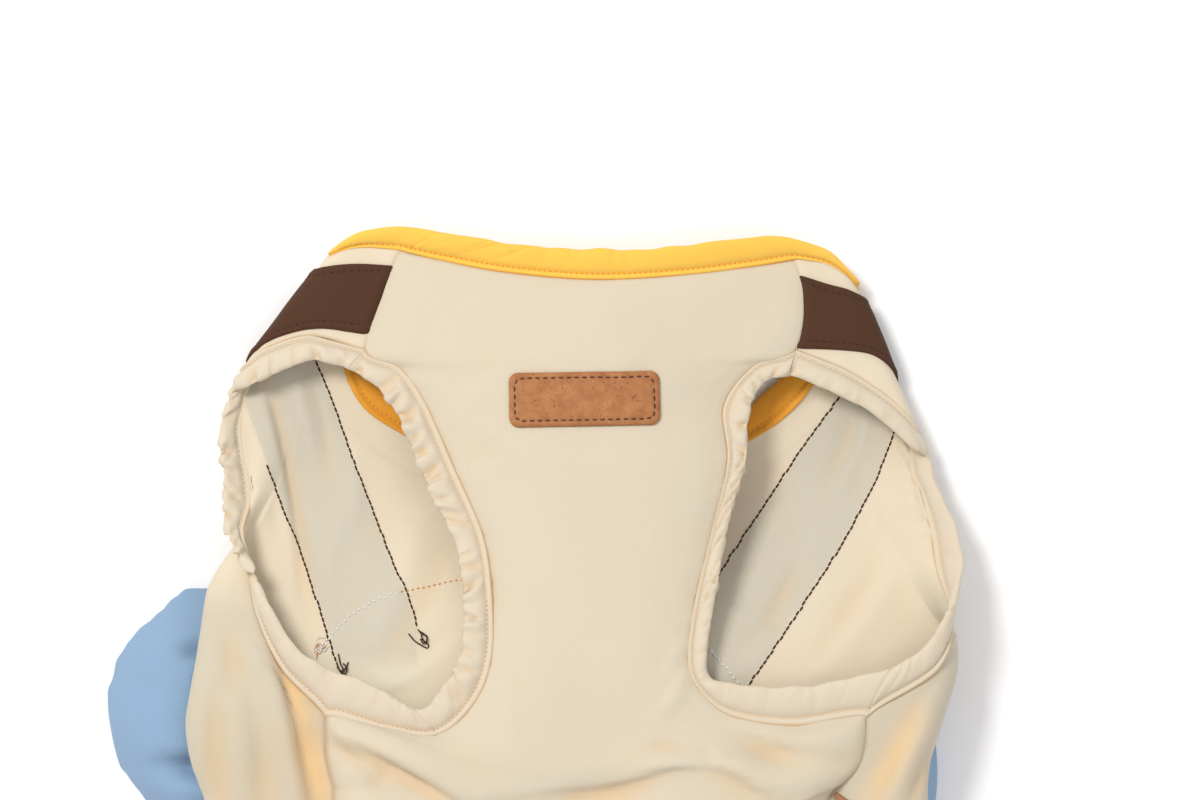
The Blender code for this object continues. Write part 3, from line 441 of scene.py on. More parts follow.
def back_net():
    """Control points of the back panel. Above the fold row the bed columns are unused."""
    net = []
    for row, (left_row, right_row) in enumerate(zip(LEFT_HORN, RIGHT_HORN)):
        left, right = horn_points(left_row), horn_points(right_row)
        if row == YOKE_HORN_ROW:
            left, right = yoke_points(-1), yoke_points(1)
        near, straight = NEAR_NECK[max(0, row - FOLD_ROW)]
        bed_y = HORN_BED_Y[max(0, row - FOLD_ROW - 1)]
        net.append(left + bed_points(left[-1], right[-1], bed_y, near, straight) + right[::-1])
    for number, (seam_y, turn_y, bed_y) in enumerate(BACK_ROWS):
        left = side_points(LEFT_SIDE, -1, seam_y, turn_y)
        right = side_points(RIGHT_SIDE, 1, seam_y, turn_y)
        near, straight = NEAR_NECK[min(len(LEFT_HORN) + number - FOLD_ROW, len(NEAR_NECK) - 1)]
        net.append(left + bed_points(left[-1], right[-1], bed_y, near, straight) + right[::-1])
    return np.array(net)


def front_end(hand, y):
    """The point of the front panel's left or right end at a height y of the side seam."""
    end = FRONT_NET[SIDE_ROW:, 0 if hand < 0 else -1]
    fine = smooth(end, np.linspace(0, len(end) - 1, 101))
    return tuple(smooth(fine, np.interp(-y, -fine[:, 1], np.arange(len(fine))))[0])


FRONT_NET = front_net()
BACK_NET = back_net()
BACK_LEFT_TURN = SIDE_COLUMNS
BACK_RIGHT_TURN = SIDE_COLUMNS + BED_COLUMNS
BACK_LAST_COLUMN = BACK_NET.shape[1] - 1


def hermite(lines, at):
    """For each line of points, the point at its own place on a smooth curve through them."""
    last = lines.shape[1] - 1
    at = np.clip(at, 0, last)
    slopes = np.gradient(lines, axis=1)
    line, start = np.arange(len(lines)), np.minimum(at.astype(int), last - 1)
    low, high = (line, start), (line, start + 1)
    return cubic((at - start)[:, None], lines[low], lines[high], slopes[low], slopes[high])


def crease_height(creases, x, y):
    """Height that a table of creases adds at points in plan. A crease is a line with a bow,
    a width on its left and on its right, and a height that fades at both ends."""
    height = np.zeros_like(x)
    for x0, y0, x1, y1, bow, left_width, right_width, rise in creases:
        run_x, run_y = x1 - x0, y1 - y0
        length = math.hypot(run_x, run_y)
        along = ((x - x0) * run_x + (y - y0) * run_y) / length**2
        near = held(along)
        across = ((y - y0) * run_x - (x - x0) * run_y) / length - bow * 4 * near * (1 - near)
        beyond = (along - near) * length
        width = np.where(across > 0, left_width, right_width)
        fade = np.sin(math.pi * np.clip(near, 0.04, 0.96)) ** 0.6
        away = (across / width) ** 2 + (beyond / (0.5 * (left_width + right_width))) ** 2
        height += rise * fade * np.exp(-away)
    return height


def fold_height(folds, x, y):
    """Height that a table of soft folds adds at points in plan."""
    height = np.zeros_like(x)
    for x0, y0, x1, y1, half_width, rise in folds:
        run_x, run_y = x1 - x0, y1 - y0
        near = held(((x - x0) * run_x + (y - y0) * run_y) / (run_x**2 + run_y**2))
        away = np.hypot(x - x0 - near * run_x, y - y0 - near * run_y)
        height += rise * bell(away / half_width) * (0.4 + 2.4 * near * (1 - near))
    return height


RIPPLE_WAVES = 7


def ripple(x, y, seed, wavelength, height):
    """Soft uneven waves at points in plan."""
    draw = np.random.default_rng(seed)
    total = np.zeros_like(x)
    for _ in range(RIPPLE_WAVES):
        heading, phase = draw.uniform(0, 2 * math.pi, 2)
        pace = 2 * math.pi / (wavelength * draw.uniform(0.7, 1.5))
        total += np.sin(pace * (x * math.cos(heading) + y * math.sin(heading)) + phase)
    return total * height / RIPPLE_WAVES


def ripples(x, y, table):
    return sum(ripple(x, y, *row) for row in table)


def front_points(rows, columns):
    """Points of the front panel's middle surface at paired net rows and columns."""
    points = hermite(smooth_rows(FRONT_NET, rows, SIDE_ROW), columns)
    inside = held(np.minimum(columns, FRONT_LAST_COLUMN - columns))
    points[:, 2] += inside * fold_height(FRONT_FOLDS, points[:, 0], points[:, 1])
    return points


def back_points(rows, columns):
    """Points of the back panel's middle surface at paired net rows and columns. It has a
    corner where the neckline leaves a shoulder fold, so each of its three parts is
    smoothed by itself there."""
    lines = smooth_rows(BACK_NET, rows, BACK_SIDE_ROW)
    whole = hermite(lines, columns)
    parts = np.empty_like(whole)
    ends = (0, BACK_LEFT_TURN, BACK_RIGHT_TURN, BACK_LAST_COLUMN)
    for start, stop in zip(ends, ends[1:]):
        inside = (columns >= start) & (columns <= stop)
        parts[inside] = hermite(lines[inside, start : stop + 1], columns[inside] - start)
    blend = held((rows - FOLD_ROW) / 2)[:, None]
    points = parts + (whole - parts) * blend
    points[:, 2] = np.maximum(points[:, 2], REST)
    return points


def even_places(net, keep=()):
    """Places along a net's rows about a panel's step apart, with the rows to keep among
    them."""
    total = mean_run(net, 0)
    marks = np.linspace(0, total[-1], int(total[-1] / PANEL_STEP) + 1)
    places = np.interp(marks, total, np.arange(len(total)))
    for row in keep:
        places[np.abs(places - row).argmin()] = row
    return places


def grid_of(where, rows, columns):
    """The points of a surface at every pair of a row and a column."""
    row_at, column_at = np.meshgrid(rows, columns, indexing="ij")
    return where(row_at.ravel(), column_at.ravel()).reshape(len(rows), len(columns), 3)


def grid_normals(grid):
    """Unit normals of a grid, upward where its columns run along +X and its rows along -Y."""
    return unit(np.cross(np.gradient(grid, axis=1), -np.gradient(grid, axis=0)))


def border_lengths(grid):
    """Lengths over a grid from its first row, last row, first column and last column."""
    lengths = []
    for axis in (0, 1):
        step = np.linalg.norm(np.diff(grid, axis=axis), axis=2)
        first = np.concatenate([np.zeros_like(np.take(step, [0], axis)), step], axis=axis)
        run = np.cumsum(first, axis=axis)
        lengths += [run, np.take(run, [-1], axis) - run]
    return lengths


def quads(rows, columns, keep=None):
    """Quads of a grid as point numbers, of the cells that are kept."""
    corner = np.arange(rows * columns).reshape(rows, columns)
    faces = np.stack([corner[:-1, :-1], corner[1:, :-1], corner[1:, 1:], corner[:-1, 1:]], axis=2)
    faces = faces.reshape(-1, 4)
    return faces if keep is None else faces[keep.ravel()]


def set_uv(mesh, uv):
    """A UV map from one pair for each point of a mesh."""
    layer = mesh.uv_layers.new(name="UVMap")
    corners = np.empty(len(mesh.loops), int)
    mesh.loops.foreach_get("vertex_index", corners)
    layer.data.foreach_set("uv", np.asarray(uv)[corners].astype(np.float32).ravel())


def make_piece(name, points, faces, uv, material, weld=False, masks=None):
    """A smooth mesh piece. Points are in millimetres and uv is one pair for each point."""
    mesh = bpy.data.meshes.new(name)
    mesh.from_pydata((np.asarray(points) * MM).tolist(), [], np.asarray(faces).tolist())
    set_uv(mesh, uv)
    for mask, values in (masks or {}).items():
        layer = mesh.attributes.new(mask, "FLOAT", "POINT")
        layer.data.foreach_set("value", values.astype(np.float32).ravel())
    if weld:
        shape = bmesh.new()
        shape.from_mesh(mesh)
        bmesh.ops.remove_doubles(shape, verts=shape.verts, dist=1e-6)
        bmesh.ops.recalc_face_normals(shape, faces=shape.faces)
        shape.to_mesh(mesh)
        shape.free()
    mesh.materials.append(material)
    mesh.shade_smooth()
    piece = bpy.data.objects.new(name, mesh)
    bpy.context.scene.collection.objects.link(piece)
    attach(piece, BODY)
    return piece


def make_grid_piece(name, points, uv, material, masks=None):
    """A welded piece from a grid of points and a grid of UVs."""
    faces = quads(*points.shape[:2])
    return make_piece(
        name, points.reshape(-1, 3), faces, uv.reshape(-1, 2), material, weld=True, masks=masks
    )


def make_shell(name, grid, thickness, material, keep=None, masks=None):
    """A closed thin shell about a grid, with its two sides and its rim."""
    rows, columns = grid.shape[:2]
    normals = grid_normals(grid)
    from_top, _, from_left, _ = border_lengths(grid)
    uv = np.stack([from_left, -from_top], axis=2).reshape(-1, 2) * UV_PER_MM
    faces = quads(rows, columns, keep)
    count = rows * columns
    points = np.concatenate([grid + normals * thickness / 2, grid - normals * thickness / 2])
    points = points.reshape(-1, 3)
    edges = np.concatenate([faces[:, [k, (k + 1) % 4]] for k in range(4)])
    keys = edges[:, 0] * count + edges[:, 1]
    rim = edges[~np.isin(keys, edges[:, 1] * count + edges[:, 0])]
    walls = np.stack([rim[:, 1], rim[:, 0], rim[:, 0] + count, rim[:, 1] + count], axis=1)
    everything = np.concatenate([faces, faces[:, ::-1] + count, walls])
    used = np.unique(everything)
    number = np.full(2 * count, -1)
    number[used] = np.arange(len(used))
    uv = np.concatenate([uv, uv])[used]
    masks = {
        mask: np.concatenate([values.ravel(), values.ravel()])[used]
        for mask, values in (masks or {}).items()
    }
    return make_piece(name, points[used], number[everything], uv, material, masks=masks)


# Creases of the front panel
FRONT_CREASES = (
    # x0, y0, x1, y1, bow, left_width, right_width, height
    (-61, 8.5, -20, -14, 1.2, 9, 1.5, 2.6),
    (-60, 6, -21, -16.4, 1.2, 1.2, 3.6, -2),
    (-64.5, 5.5, -54, -1, -0.8, 1.5, 1.6, -1.5),
    (-64.5, 8.6, -57, 4.6, 0.6, 1.6, 1.2, 1),
    (-55.5, -8.5, -47, -1.5, -1.6, 1.4, 2.6, -1.8),
    (-60, -5.5, -54, -5, 1, 2.6, 1.6, 1),
    (-64, -11, -52, -16, 1, 1.5, 3.6, 1.2),
    (-30, -12, 20, -3.8, -2, 6, 2.2, 1.3),
    (6, -10.6, 44, -3.4, -1.5, 1.5, 7, -2.2),
    (-6, -18, 34, -9.6, 1, 2, 3.5, -1.2),
    (34, -2.4, 56, -1.6, 1.2, 3.2, 1.4, 1.4),
    (38, 14, 47, 27, -1.4, 2, 3, 0.9),
    (36, 4.6, 49, 3.4, 1, 1.8, 2.6, -1),
    (50, 3, 60, -0.5, 1.2, 1.6, 3, -1),
    (53, 0.6, 76, -11.5, 1.4, 4.6, 1.5, 1.9),
    (56, -1.6, 73, -12, 1.4, 1.2, 4.6, -1.6),
    (66, 8, 84, 0.5, -0.8, 1.8, 4, -1),
    (70, -8, 92, -7, 1, 5, 3, 0.9),
    (60, 9, 86, -1, 1.8, 1.6, 4, -0.7),
    (66, 8.8, 96, 3, 1, 3, 1.8, 0.6),
    (84, 4, 100, -2, 0.6, 1.6, 3, -0.5),
    (-12, 26, -7, 8, 1.6, 2.4, 4, 0.5),
    (47, 40, 40, 26, 1, 4, 2.2, 0.5),
    (-18, 60, -8, 44, -1, 3, 5, -0.35),
    (-20, 100, -4, 92, 1, 4, 6, -0.5),
    (-24, 113, -9, 122, 1, 3, 6, 0.6),
    (22, 123, 35, 132, -1, 5, 3, 0.5),
    (-22, 88, -2, 97, 1, 5, 4, 0.5),
    (44, 100, 60, 104, 1, 4, 6, 0.35),
    (-44, 150, -40, 128, 1.5, 4, 6, 0.35),
    (80, 150, 76, 132, 1.5, 5, 4, 0.35),
    (-50, -28, -12, -48, 3, 5, 3, 1.2),
    (-44, -34, -8, -54, 3, 3, 6, -1),
    (30, -30, 84, -40, -3, 5, 3, 1.2),
    (34, -37, 82, -46, -3, 3, 6, -1),
    (-62, -60, -20, -76, 3, 6, 4, 1),
    (10, -62, 60, -70, 2, 5, 5, 0.9),
    (64, -64, 90, -84, 2, 5, 3, 1.1),
    (-40, -84, -30, -104, 1, 5, 4, 0.8),
    (44, -82, 52, -104, 1, 4, 5, 0.8),
)


SEAM_LEAST = 0.15  # share of a roll or a pucker that is left beside a side or yoke seam
PUCKER_REACH = 7.0


def seam_roll(away, depth=0.35, reach=1.4):
    """How far cloth dips beside a seam, at distances away from it."""
    return -depth * bell(away / reach)


def seam_puckers(along, away, seed, count, height):
    """Small uneven puckers that run out from a seam."""
    draw = np.random.default_rng(seed)
    total, length = np.zeros_like(along), along.max()
    for _ in range(count):
        place, lean = draw.uniform(0, length), draw.uniform(-0.7, 0.7)
        width, rise = draw.uniform(0.9, 2.4), height * draw.uniform(-1.0, 1.0)
        far = PUCKER_REACH * draw.uniform(0.6, 1.3)
        total += rise * np.exp(-(((along - place - lean * away) / width) ** 2) - (away / far) ** 2)
    return total


TUCK = 0.45  # how far a seam's lower edge goes under the upper one
HEM_DEPTH = 14.0  # of the turned hem
HEM_SWELL = 0.45  # that the second layer adds
HEM_SOFT = 0.5  # over which it steps down
HEM_STITCH_IN = 1.6  # from the inner edge of the hem to its stitches
HEM_STITCH_DIP = 0.35
HEM_STITCH_REACH = 0.7


def hem_height(away):
    """The step up of a turned hem, with the dip of its stitches, at distances from the edge."""
    step = HEM_SWELL / (1 + np.exp((away - HEM_DEPTH) / HEM_SOFT))
    return step - HEM_STITCH_DIP * bell((away - HEM_DEPTH + HEM_STITCH_IN) / HEM_STITCH_REACH)


def softened(values, reach, passes=2):
    """Values of a grid after averaging over a square of points."""
    for _ in range(passes):
        for axis in (0, 1):
            pad = [(reach, reach) if k == axis else (0, 0) for k in range(values.ndim)]
            wide = np.pad(values, pad, mode="edge")
            run = np.cumsum(np.insert(wide, 0, 0, axis=axis), axis=axis)
            many = 2 * reach + 1
            count = values.shape[axis]
            ends = [np.take(run, np.arange(k, k + count), axis=axis) for k in (many, 0)]
            values = (ends[0] - ends[1]) / many
    return values


def painted_shade_mask(height, depth=1.3):
    """A mask of the places that lie lower than what is round them, where warm shade is
    painted into a crease, for light that comes to it through the cloth."""
    return softened(held((softened(height, 4) - height) / depth), 1)


FRONT_RIPPLES = ((3, 46, 0.9), (4, 15, 0.14))  # seed, wavelength, height
FRONT_SEAM_MASK = (0.4, 0.9)  # how far in from a side seam its shade is, and its reach


def make_front_grid():
    """The front panel's points and the mask of its painted crease and seam shade."""
    rows = even_places(FRONT_NET, keep=(SIDE_ROW,))
    grid = grid_of(front_points, rows, even_places(FRONT_NET.transpose(1, 0, 2)))
    x, y = grid[..., 0], grid[..., 1]
    from_top, from_hem, from_left, from_right = border_lengths(grid)
    down = np.broadcast_to(from_top.mean(axis=1, keepdims=True), x.shape)
    over = np.broadcast_to(from_left.mean(axis=0, keepdims=True), x.shape)
    height = crease_height(FRONT_CREASES, x, y)
    height += ripples(x, y, FRONT_RIPPLES)
    height += seam_roll(from_top)
    beside = np.clip(SIDE_ROW - rows, SEAM_LEAST, 1)[:, None]
    height += beside * (seam_roll(from_left) + seam_roll(from_right))
    below_yoke = np.clip((rows[:, None] - YOKE_ROW) / 2, SEAM_LEAST, 1)
    for seed, away in ((11, from_left), (12, from_right)):
        height += seam_puckers(down, away, seed, count=70, height=0.32) * below_yoke
    height += seam_puckers(over, from_top, seed=13, count=26, height=0.16)
    height += hem_height(from_hem)
    grid = grid + grid_normals(grid) * height[..., None]
    at_side = rows > SIDE_ROW  # below the armholes the edge is tucked under the back's
    for column, inner in ((0, 1), (-1, -2)):
        away = unit(grid[at_side, column] - grid[at_side, inner])
        grid[at_side, column] += away * TUCK - np.array([0, 0, TUCK])
    # Painted shade along the side seams below the armholes, together with the crease shade
    far_in, reach = FRONT_SEAM_MASK
    seam_shade = bell((np.minimum(from_left, from_right) - far_in) / reach) * at_side[:, None]
    return grid, np.maximum(painted_shade_mask(height), seam_shade)


# Creases of the back panel's two sides where they turn up and lie over it, and of its bed
LEFT_FLAP_CREASES = (
    # x0, y0, x1, y1, bow, left_width, right_width, height
    (-89.5, 46, -74, -18, 2.2, 1.2, 7, 2.4),
    (-86, 40, -68, -26, 1.6, 8.5, 1.6, -2),
    (-84.5, 27, -76, 8, 0.6, 1.2, 1.6, 0.8),
    (-106, 24, -103, -20, -2, 4, 3, 1.2),
    (-102, 20, -99.5, -22, -2, 4.5, 2.5, -2),
    (-95, 24, -93, -16, 1, 3, 4, 1.4),
    (-90, 22, -86, -22, 1, 3.5, 2.2, -1.5),
    (-100, 44, -96, 22, 1, 4, 3, -0.8),
    (-106, -20, -84, -60, 3, 5, 4, 1),
    (-98, -26, -76, -64, 3, 3, 6, -0.9),
    (-100, -60, -80, -92, 2, 5, 5, 0.9),
)
RIGHT_FLAP_CREASES = (
    # x0, y0, x1, y1, bow, left_width, right_width, height
    (124, 24, 104, -18, 0.6, 2.4, 6, -1.2),
    (128, 22, 110, -18, 0.6, 3.4, 1.8, 1),
    (124.5, 0, 118, -18, 0.4, 1.2, 2.4, -1.4),
    (122, -20, 104, -56, -3, 4, 5, 1),
    (114, -24, 98, -60, -3, 5, 3, -0.9),
    (116, -60, 98, -92, -2, 5, 5, 0.9),
)
BED_CREASES = (
    # x0, y0, x1, y1, bow, left_width, right_width, height
    (-91.5, 126, -77, 48, 2.6, 1.4, 5, 1.3),
    (-88, 126, -74.5, 46, 2.6, 3.5, 1.4, -1),
    (-80, 128, -71, 96, 1, 4, 2, 1),
    (-74, 126, -66, 92, 1, 2, 4, -0.8),
    (-62, 84, -70, 52, 1, 3, 2, 0.8),
    (-58, 96, -60, 70, 1, 2.6, 4, 0.7),
    (108, 118, 97, 84, 2, 3, 2, 0.9),
    (103, 116, 92, 86, 2, 2.4, 4, -0.9),
    (124, 100, 128, 54, -1, 1.2, 4, 1.4),
    (121.5, 100, 124, 56, -1, 3, 1.2, -1.2),
    (84, 64, 64, 30, 2, 3, 2, -1),
    (-36, 76, -60, 34, 3, 4, 6, 1.1),
    (-44, 62, -64, 30, 2, 3, 4, -0.8),
    (-28, 66, -52, 26, 2, 3, 5, -0.9),
    (-30, 34, -52, 22, 2, 2, 4, 0.9),
    (-26, 44, -44, 27, 1, 2.4, 3, -0.7),
    (-66, 118, -58, 70, 3, 5, 8, 0.7),
    (-84, 108, -74, 52, -2, 4, 5, -0.7),
    (-90, 100, -80, 48, -2, 3, 4, 0.8),
    (120, 74, 92, 30, 3, 5, 4, 0.9),
    (112, 64, 86, 28, 2, 3, 5, -0.8),
    (76, 46, 62, 26, 2, 3, 4, 0.8),
    (118, 96, 100, 60, 3, 5, 6, -0.6),
    (66, 96, 70, 60, 2, 6, 6, 0.6),
    (-70, -100, 60, -112, 5, 7, 7, 0.8),
    (-40, -120, 40, -140, 4, 6, 8, 0.7),
    (-80, -66, -30, -90, 4, 6, 6, 0.9),
    (96, -70, 50, -96, -4, 6, 6, 0.9),
)


MID_ARC = FLAP_STEPS + ARC_STEPS / 2  # the column at the outline of each side
TURN_SOFTENING = 160  # passes over the turns between the shoulders and the sides
TURN_ROWS = (6.3, 11.6)
TURN_COLUMNS = ((0.5, 11.0), (14.0, BACK_LAST_COLUMN - 0.5))
FLAP_SOFTENING = 8  # passes over the two flaps
FLAP_ROW = 12  # where these start
OUTLINE_ROW = 9.0  # under it the fold at each side is the outline, which stays in place
OUTLINE_REACH = 14  # how far in from the outline the cloth is moved with it
HORN_END_ROW = 8.6
MIDDLE_X = 18.0  # between the two armholes
STRAP_ROOM = 1.9  # under the bed for the straps
BACK_RIPPLES = ((5, 40, 1.0), (6, 13, 0.16))  # seed, wavelength, height


def make_back_grid():
    """The back panel's points, its net rows and columns, and the mask of its painted crease shade.
    """
    rows = even_places(BACK_NET[:, :BACK_LEFT_TURN], keep=(FOLD_ROW, BACK_SIDE_ROW))
    across = BACK_NET[FOLD_ROW:].transpose(1, 0, 2)
    columns = even_places(across, keep=(BACK_LEFT_TURN, BACK_RIGHT_TURN))
    grid = grid_of(back_points, rows, columns)
    column_at = np.broadcast_to(columns, grid.shape[:2])
    row_at = np.broadcast_to(rows[:, None], grid.shape[:2])
    from_edge = np.minimum(column_at, BACK_LAST_COLUMN - column_at)
    outline = grid[..., 0].min(axis=1), grid[..., 0].max(axis=1)
    for first, last in TURN_COLUMNS:
        inside = held(np.minimum(column_at - first, last - column_at))
        inside = inside * held(np.minimum(row_at - TURN_ROWS[0], TURN_ROWS[1] - row_at))
        for _ in range(TURN_SOFTENING):
            grid += (softened(grid, 1, 1) - grid) * inside[..., None]
    on_flaps = held(MID_ARC - from_edge) * held(from_edge / 0.5)
    for _ in range(FLAP_SOFTENING):
        grid += (softened(grid, 1, 1) - grid) * (on_flaps * held(row_at - FLAP_ROW))[..., None]
    low_rows = held((rows - OUTLINE_ROW) / 1.5)
    for wanted, ends in zip(outline, (grid[..., 0].min(axis=1), grid[..., 0].max(axis=1))):
        near = bell((grid[..., 0] - ends[:, None]) / OUTLINE_REACH) * held(from_edge / 2)
        grid[..., 0] += near * ((wanted - ends) * low_rows)[:, None]
    x, y = grid[..., 0], grid[..., 1]
    in_horn = held(HORN_END_ROW - row_at) * held(row_at - FOLD_ROW)
    from_left_arc, from_right_arc = column_at - MID_ARC, BACK_LAST_COLUMN - MID_ARC - column_at
    in_bed = np.maximum(held(np.minimum(from_left_arc, from_right_arc) + 0.5), in_horn)
    on_left = held(0.5 - from_left_arc) * (1 - in_horn)
    on_right = held(0.5 - from_right_arc) * (1 - in_horn)
    _, from_hem, from_left, from_right = border_lengths(grid)
    down = np.broadcast_to(run_along(grid[:, 0])[:, None], x.shape)
    inward = crease_height(BED_CREASES, x, y) * in_bed * held((row_at - FOLD_ROW) / 2)
    inward += ripples(x, y, BACK_RIPPLES) * held(row_at)
    inward -= crease_height(LEFT_FLAP_CREASES, x, y) * on_left
    inward -= crease_height(RIGHT_FLAP_CREASES, x, y) * on_right
    beside = np.clip(BACK_SIDE_ROW - rows, SEAM_LEAST, 1)[:, None]
    inward -= beside * (seam_roll(from_left) + seam_roll(from_right))
    for seed, away in ((21, from_left), (22, from_right)):
        inward -= seam_puckers(down, away, seed, count=80, height=0.3)
    inward -= hem_height(from_hem)
    grid = grid + grid_normals(grid) * inward[..., None]
    x, y = grid[..., 0], grid[..., 1]
    over_straps = held((np.abs(x - MIDDLE_X) - 44) / 14) * held((y - 62) / 16)
    lowest = CLOTH / 2 + TABLE_CLEAR + STRAP_ROOM * over_straps
    grid[..., 2] = np.maximum(grid[..., 2], lowest)
    grid[0] += grid[0] - grid[1]  # the yoke seams take the horns' ends under the front
    grid[0, :, 2] -= TUCK
    # Painted warm shade in the bed's creases and in the flaps' folds
    painted_shade = np.where(in_bed > 0.5, painted_shade_mask(inward), painted_shade_mask(-inward))
    return grid, rows, columns, painted_shade


def back_cells(rows, columns):
    """Which cells of the back grid are cloth: all but those in the neck opening."""
    row_middle = 0.5 * (rows[:-1] + rows[1:])[:, None]
    column_middle = 0.5 * (columns[:-1] + columns[1:])[None]
    in_neck = (column_middle > BACK_LEFT_TURN) & (column_middle < BACK_RIGHT_TURN)
    return ~((row_middle < FOLD_ROW) & in_neck)


def edge_of(points_at, column):
    """A function that gives the points of a panel down one of its net columns."""
    return lambda rows: points_at(rows, np.full_like(rows, column))


def back_neckline(shares):
    """Points of the back neckline, from the right fold (0) to the left one (1)."""
    return back_points(np.full_like(shares, FOLD_ROW), BACK_RIGHT_TURN - shares * BED_COLUMNS)


def front_neck_seam(shares):
    """Points of the front neck seam, from left (0) to right (1)."""
    return front_points(np.zeros_like(shares), shares * FRONT_LAST_COLUMN)


def stations_of(where, table):
    """Places of a seam, each with the point of the free edge beside it."""
    return [(where, row[0], row[1:]) for row in table]


NECK_STATIONS = (
    stations_of(front_neck_seam, BAND_FRONT)
    + stations_of(edge_of(back_points, BACK_RIGHT_TURN), BAND_RIGHT)
    + stations_of(back_neckline, BAND_BACK)
    + stations_of(edge_of(back_points, BACK_LEFT_TURN), BAND_LEFT)
)
LEFT_STATIONS = stations_of(edge_of(front_points, 0), BINDING_LEFT_FRONT)
LEFT_STATIONS += stations_of(edge_of(back_points, 0), BINDING_LEFT_BACK)
RIGHT_STATIONS = stations_of(edge_of(front_points, FRONT_LAST_COLUMN), BINDING_RIGHT_FRONT)
RIGHT_STATIONS += stations_of(edge_of(back_points, BACK_LAST_COLUMN), BINDING_RIGHT_BACK)


def ring(stations, around):
    """Seam and free edge of a band round an opening, at evenly spaced places."""
    frees = np.array([station[2] for station in stations], float)
    places = np.arange(around) / around * len(stations)
    free = smooth(np.vstack([frees[-2:], frees, frees[:3]]), places + 2)
    seam = np.empty_like(free)
    for k, (where, at, _) in enumerate(stations):
        next_where, next_at, _ = stations[(k + 1) % len(stations)]
        here = places.astype(int) == k
        t = places[here] - k
        if where is next_where:
            seam[here] = where(at + (next_at - at) * t)
        else:
            end, start = where(np.full_like(t, at)), next_where(np.full_like(t, next_at))
            seam[here] = end * (1 - t[:, None]) + start * t[:, None]
    seam, free = (np.vstack([line, line[:1]]) for line in (seam, free))
    run = run_along(0.5 * (seam + free))
    marks = np.linspace(0, run[-1], around + 1)
    return read_along(seam, run, marks), read_along(free, run, marks), marks


# Cross-section of a bound edge, from the groove beside the panel over the narrow roll and
# the stitches to the full fold at the free edge, and back underneath.
BOUND_EDGE = (
    # share of the width, height, give to the gathers
    (-0.085, -0.62, 0), (-0.05, -0.10, 0), (-0.01, 0.50, 0.05), (0.04, 0.80, 0.1),
    (0.09, 0.78, 0.2), (0.135, 0.42, 0.1), (0.17, 0.05, 0), (0.20, 0.12, 0.1), (0.25, 0.55, 0.45),
    (0.33, 0.98, 0.8), (0.43, 1.24, 1), (0.54, 1.38, 1), (0.65, 1.42, 1), (0.75, 1.34, 1),
    (0.84, 1.12, 1), (0.91, 0.78, 0.9), (0.965, 0.32, 0.7), (0.99, -0.10, 0.3),
    (0.975, -0.55, -0.3), (0.93, -0.95, -0.6), (0.86, -1.20, -0.8), (0.75, -1.32, -0.8),
    (0.62, -1.34, -0.8), (0.48, -1.26, -0.7), (0.36, -1.05, -0.5), (0.26, -0.68, -0.3),
    (0.20, -0.36, 0), (0.16, -0.34, 0), (0.10, -0.72, 0), (0.03, -0.95, 0), (-0.04, -0.92, 0),
)
# The grooves of the stitches in that table, and the way that their threads face
STITCH_GROOVES = ((6, 1), (26, -1))

# How strongly the edges are gathered, by the bearing from the middle of their opening
LEFT_GATHERS = (
    # degrees, strength
    (-180, 1), (-160, 0.8), (-140, 0.12), (-105, 0.08), (-80, 0.15), (-50, 0.8), (-20, 0.7),
    (10, 0.7), (30, 1), (62, 1), (85, 0.4), (120, 0.45), (150, 0.9), (180, 1),
)
RIGHT_GATHERS = (
    (-180, 0.8), (-150, 0.5), (-120, 0.15), (-60, 0.15), (-30, 0.2), (10, 0.15), (50, 0.15),
    (90, 0.2), (115, 0.8), (135, 1), (160, 0.7), (180, 0.8),
)
NECK_GATHERS = (
    (-180, 0.2), (0, 0.35), (40, 0.25), (60, 0.7), (90, 0.3), (125, 0.7), (180, 0.2),
)


GATHER_START = 0.2  # share of the width from which an edge is gathered
JOIN_FADE = 16  # along the edge, behind a join


def gather_puffs(marks, shares, width, bearings, strengths, count, height, seed):
    """Narrow creases and soft puffs between them that cross a gathered edge."""
    draw = np.random.default_rng(seed)
    length = marks[-1]
    strength = np.interp(bearings, *np.array(strengths).T)
    puffs = np.zeros((len(marks), shares.shape[1]))
    ramp = held((shares - GATHER_START) / 0.3) ** 0.7
    for k in range(count):
        place = (k + draw.uniform(-0.9, 0.9)) * length / count
        pull = strength[int(place / length * len(marks)) % len(marks)] * draw.uniform(0.35, 1.0)
        lean, breadth = draw.normal(0, 0.5), draw.uniform(0.45, 1.0)
        start = draw.uniform(0.15, 0.5)
        leaning = lean * (shares - GATHER_START) * width
        away = shorter_way(marks[:, None] - place - leaning, length)
        side = np.where(away * draw.choice((-1, 1)) > 0, breadth, breadth * 2.6)
        puffs -= height * pull * bell(away / side) * held((shares - start) / 0.25)
        full, shift = draw.uniform(2.0, 3.6), draw.uniform(1.5, 3.0)
        puffs += 0.45 * height * pull * bell((away - shift) / full) * ramp
    return puffs


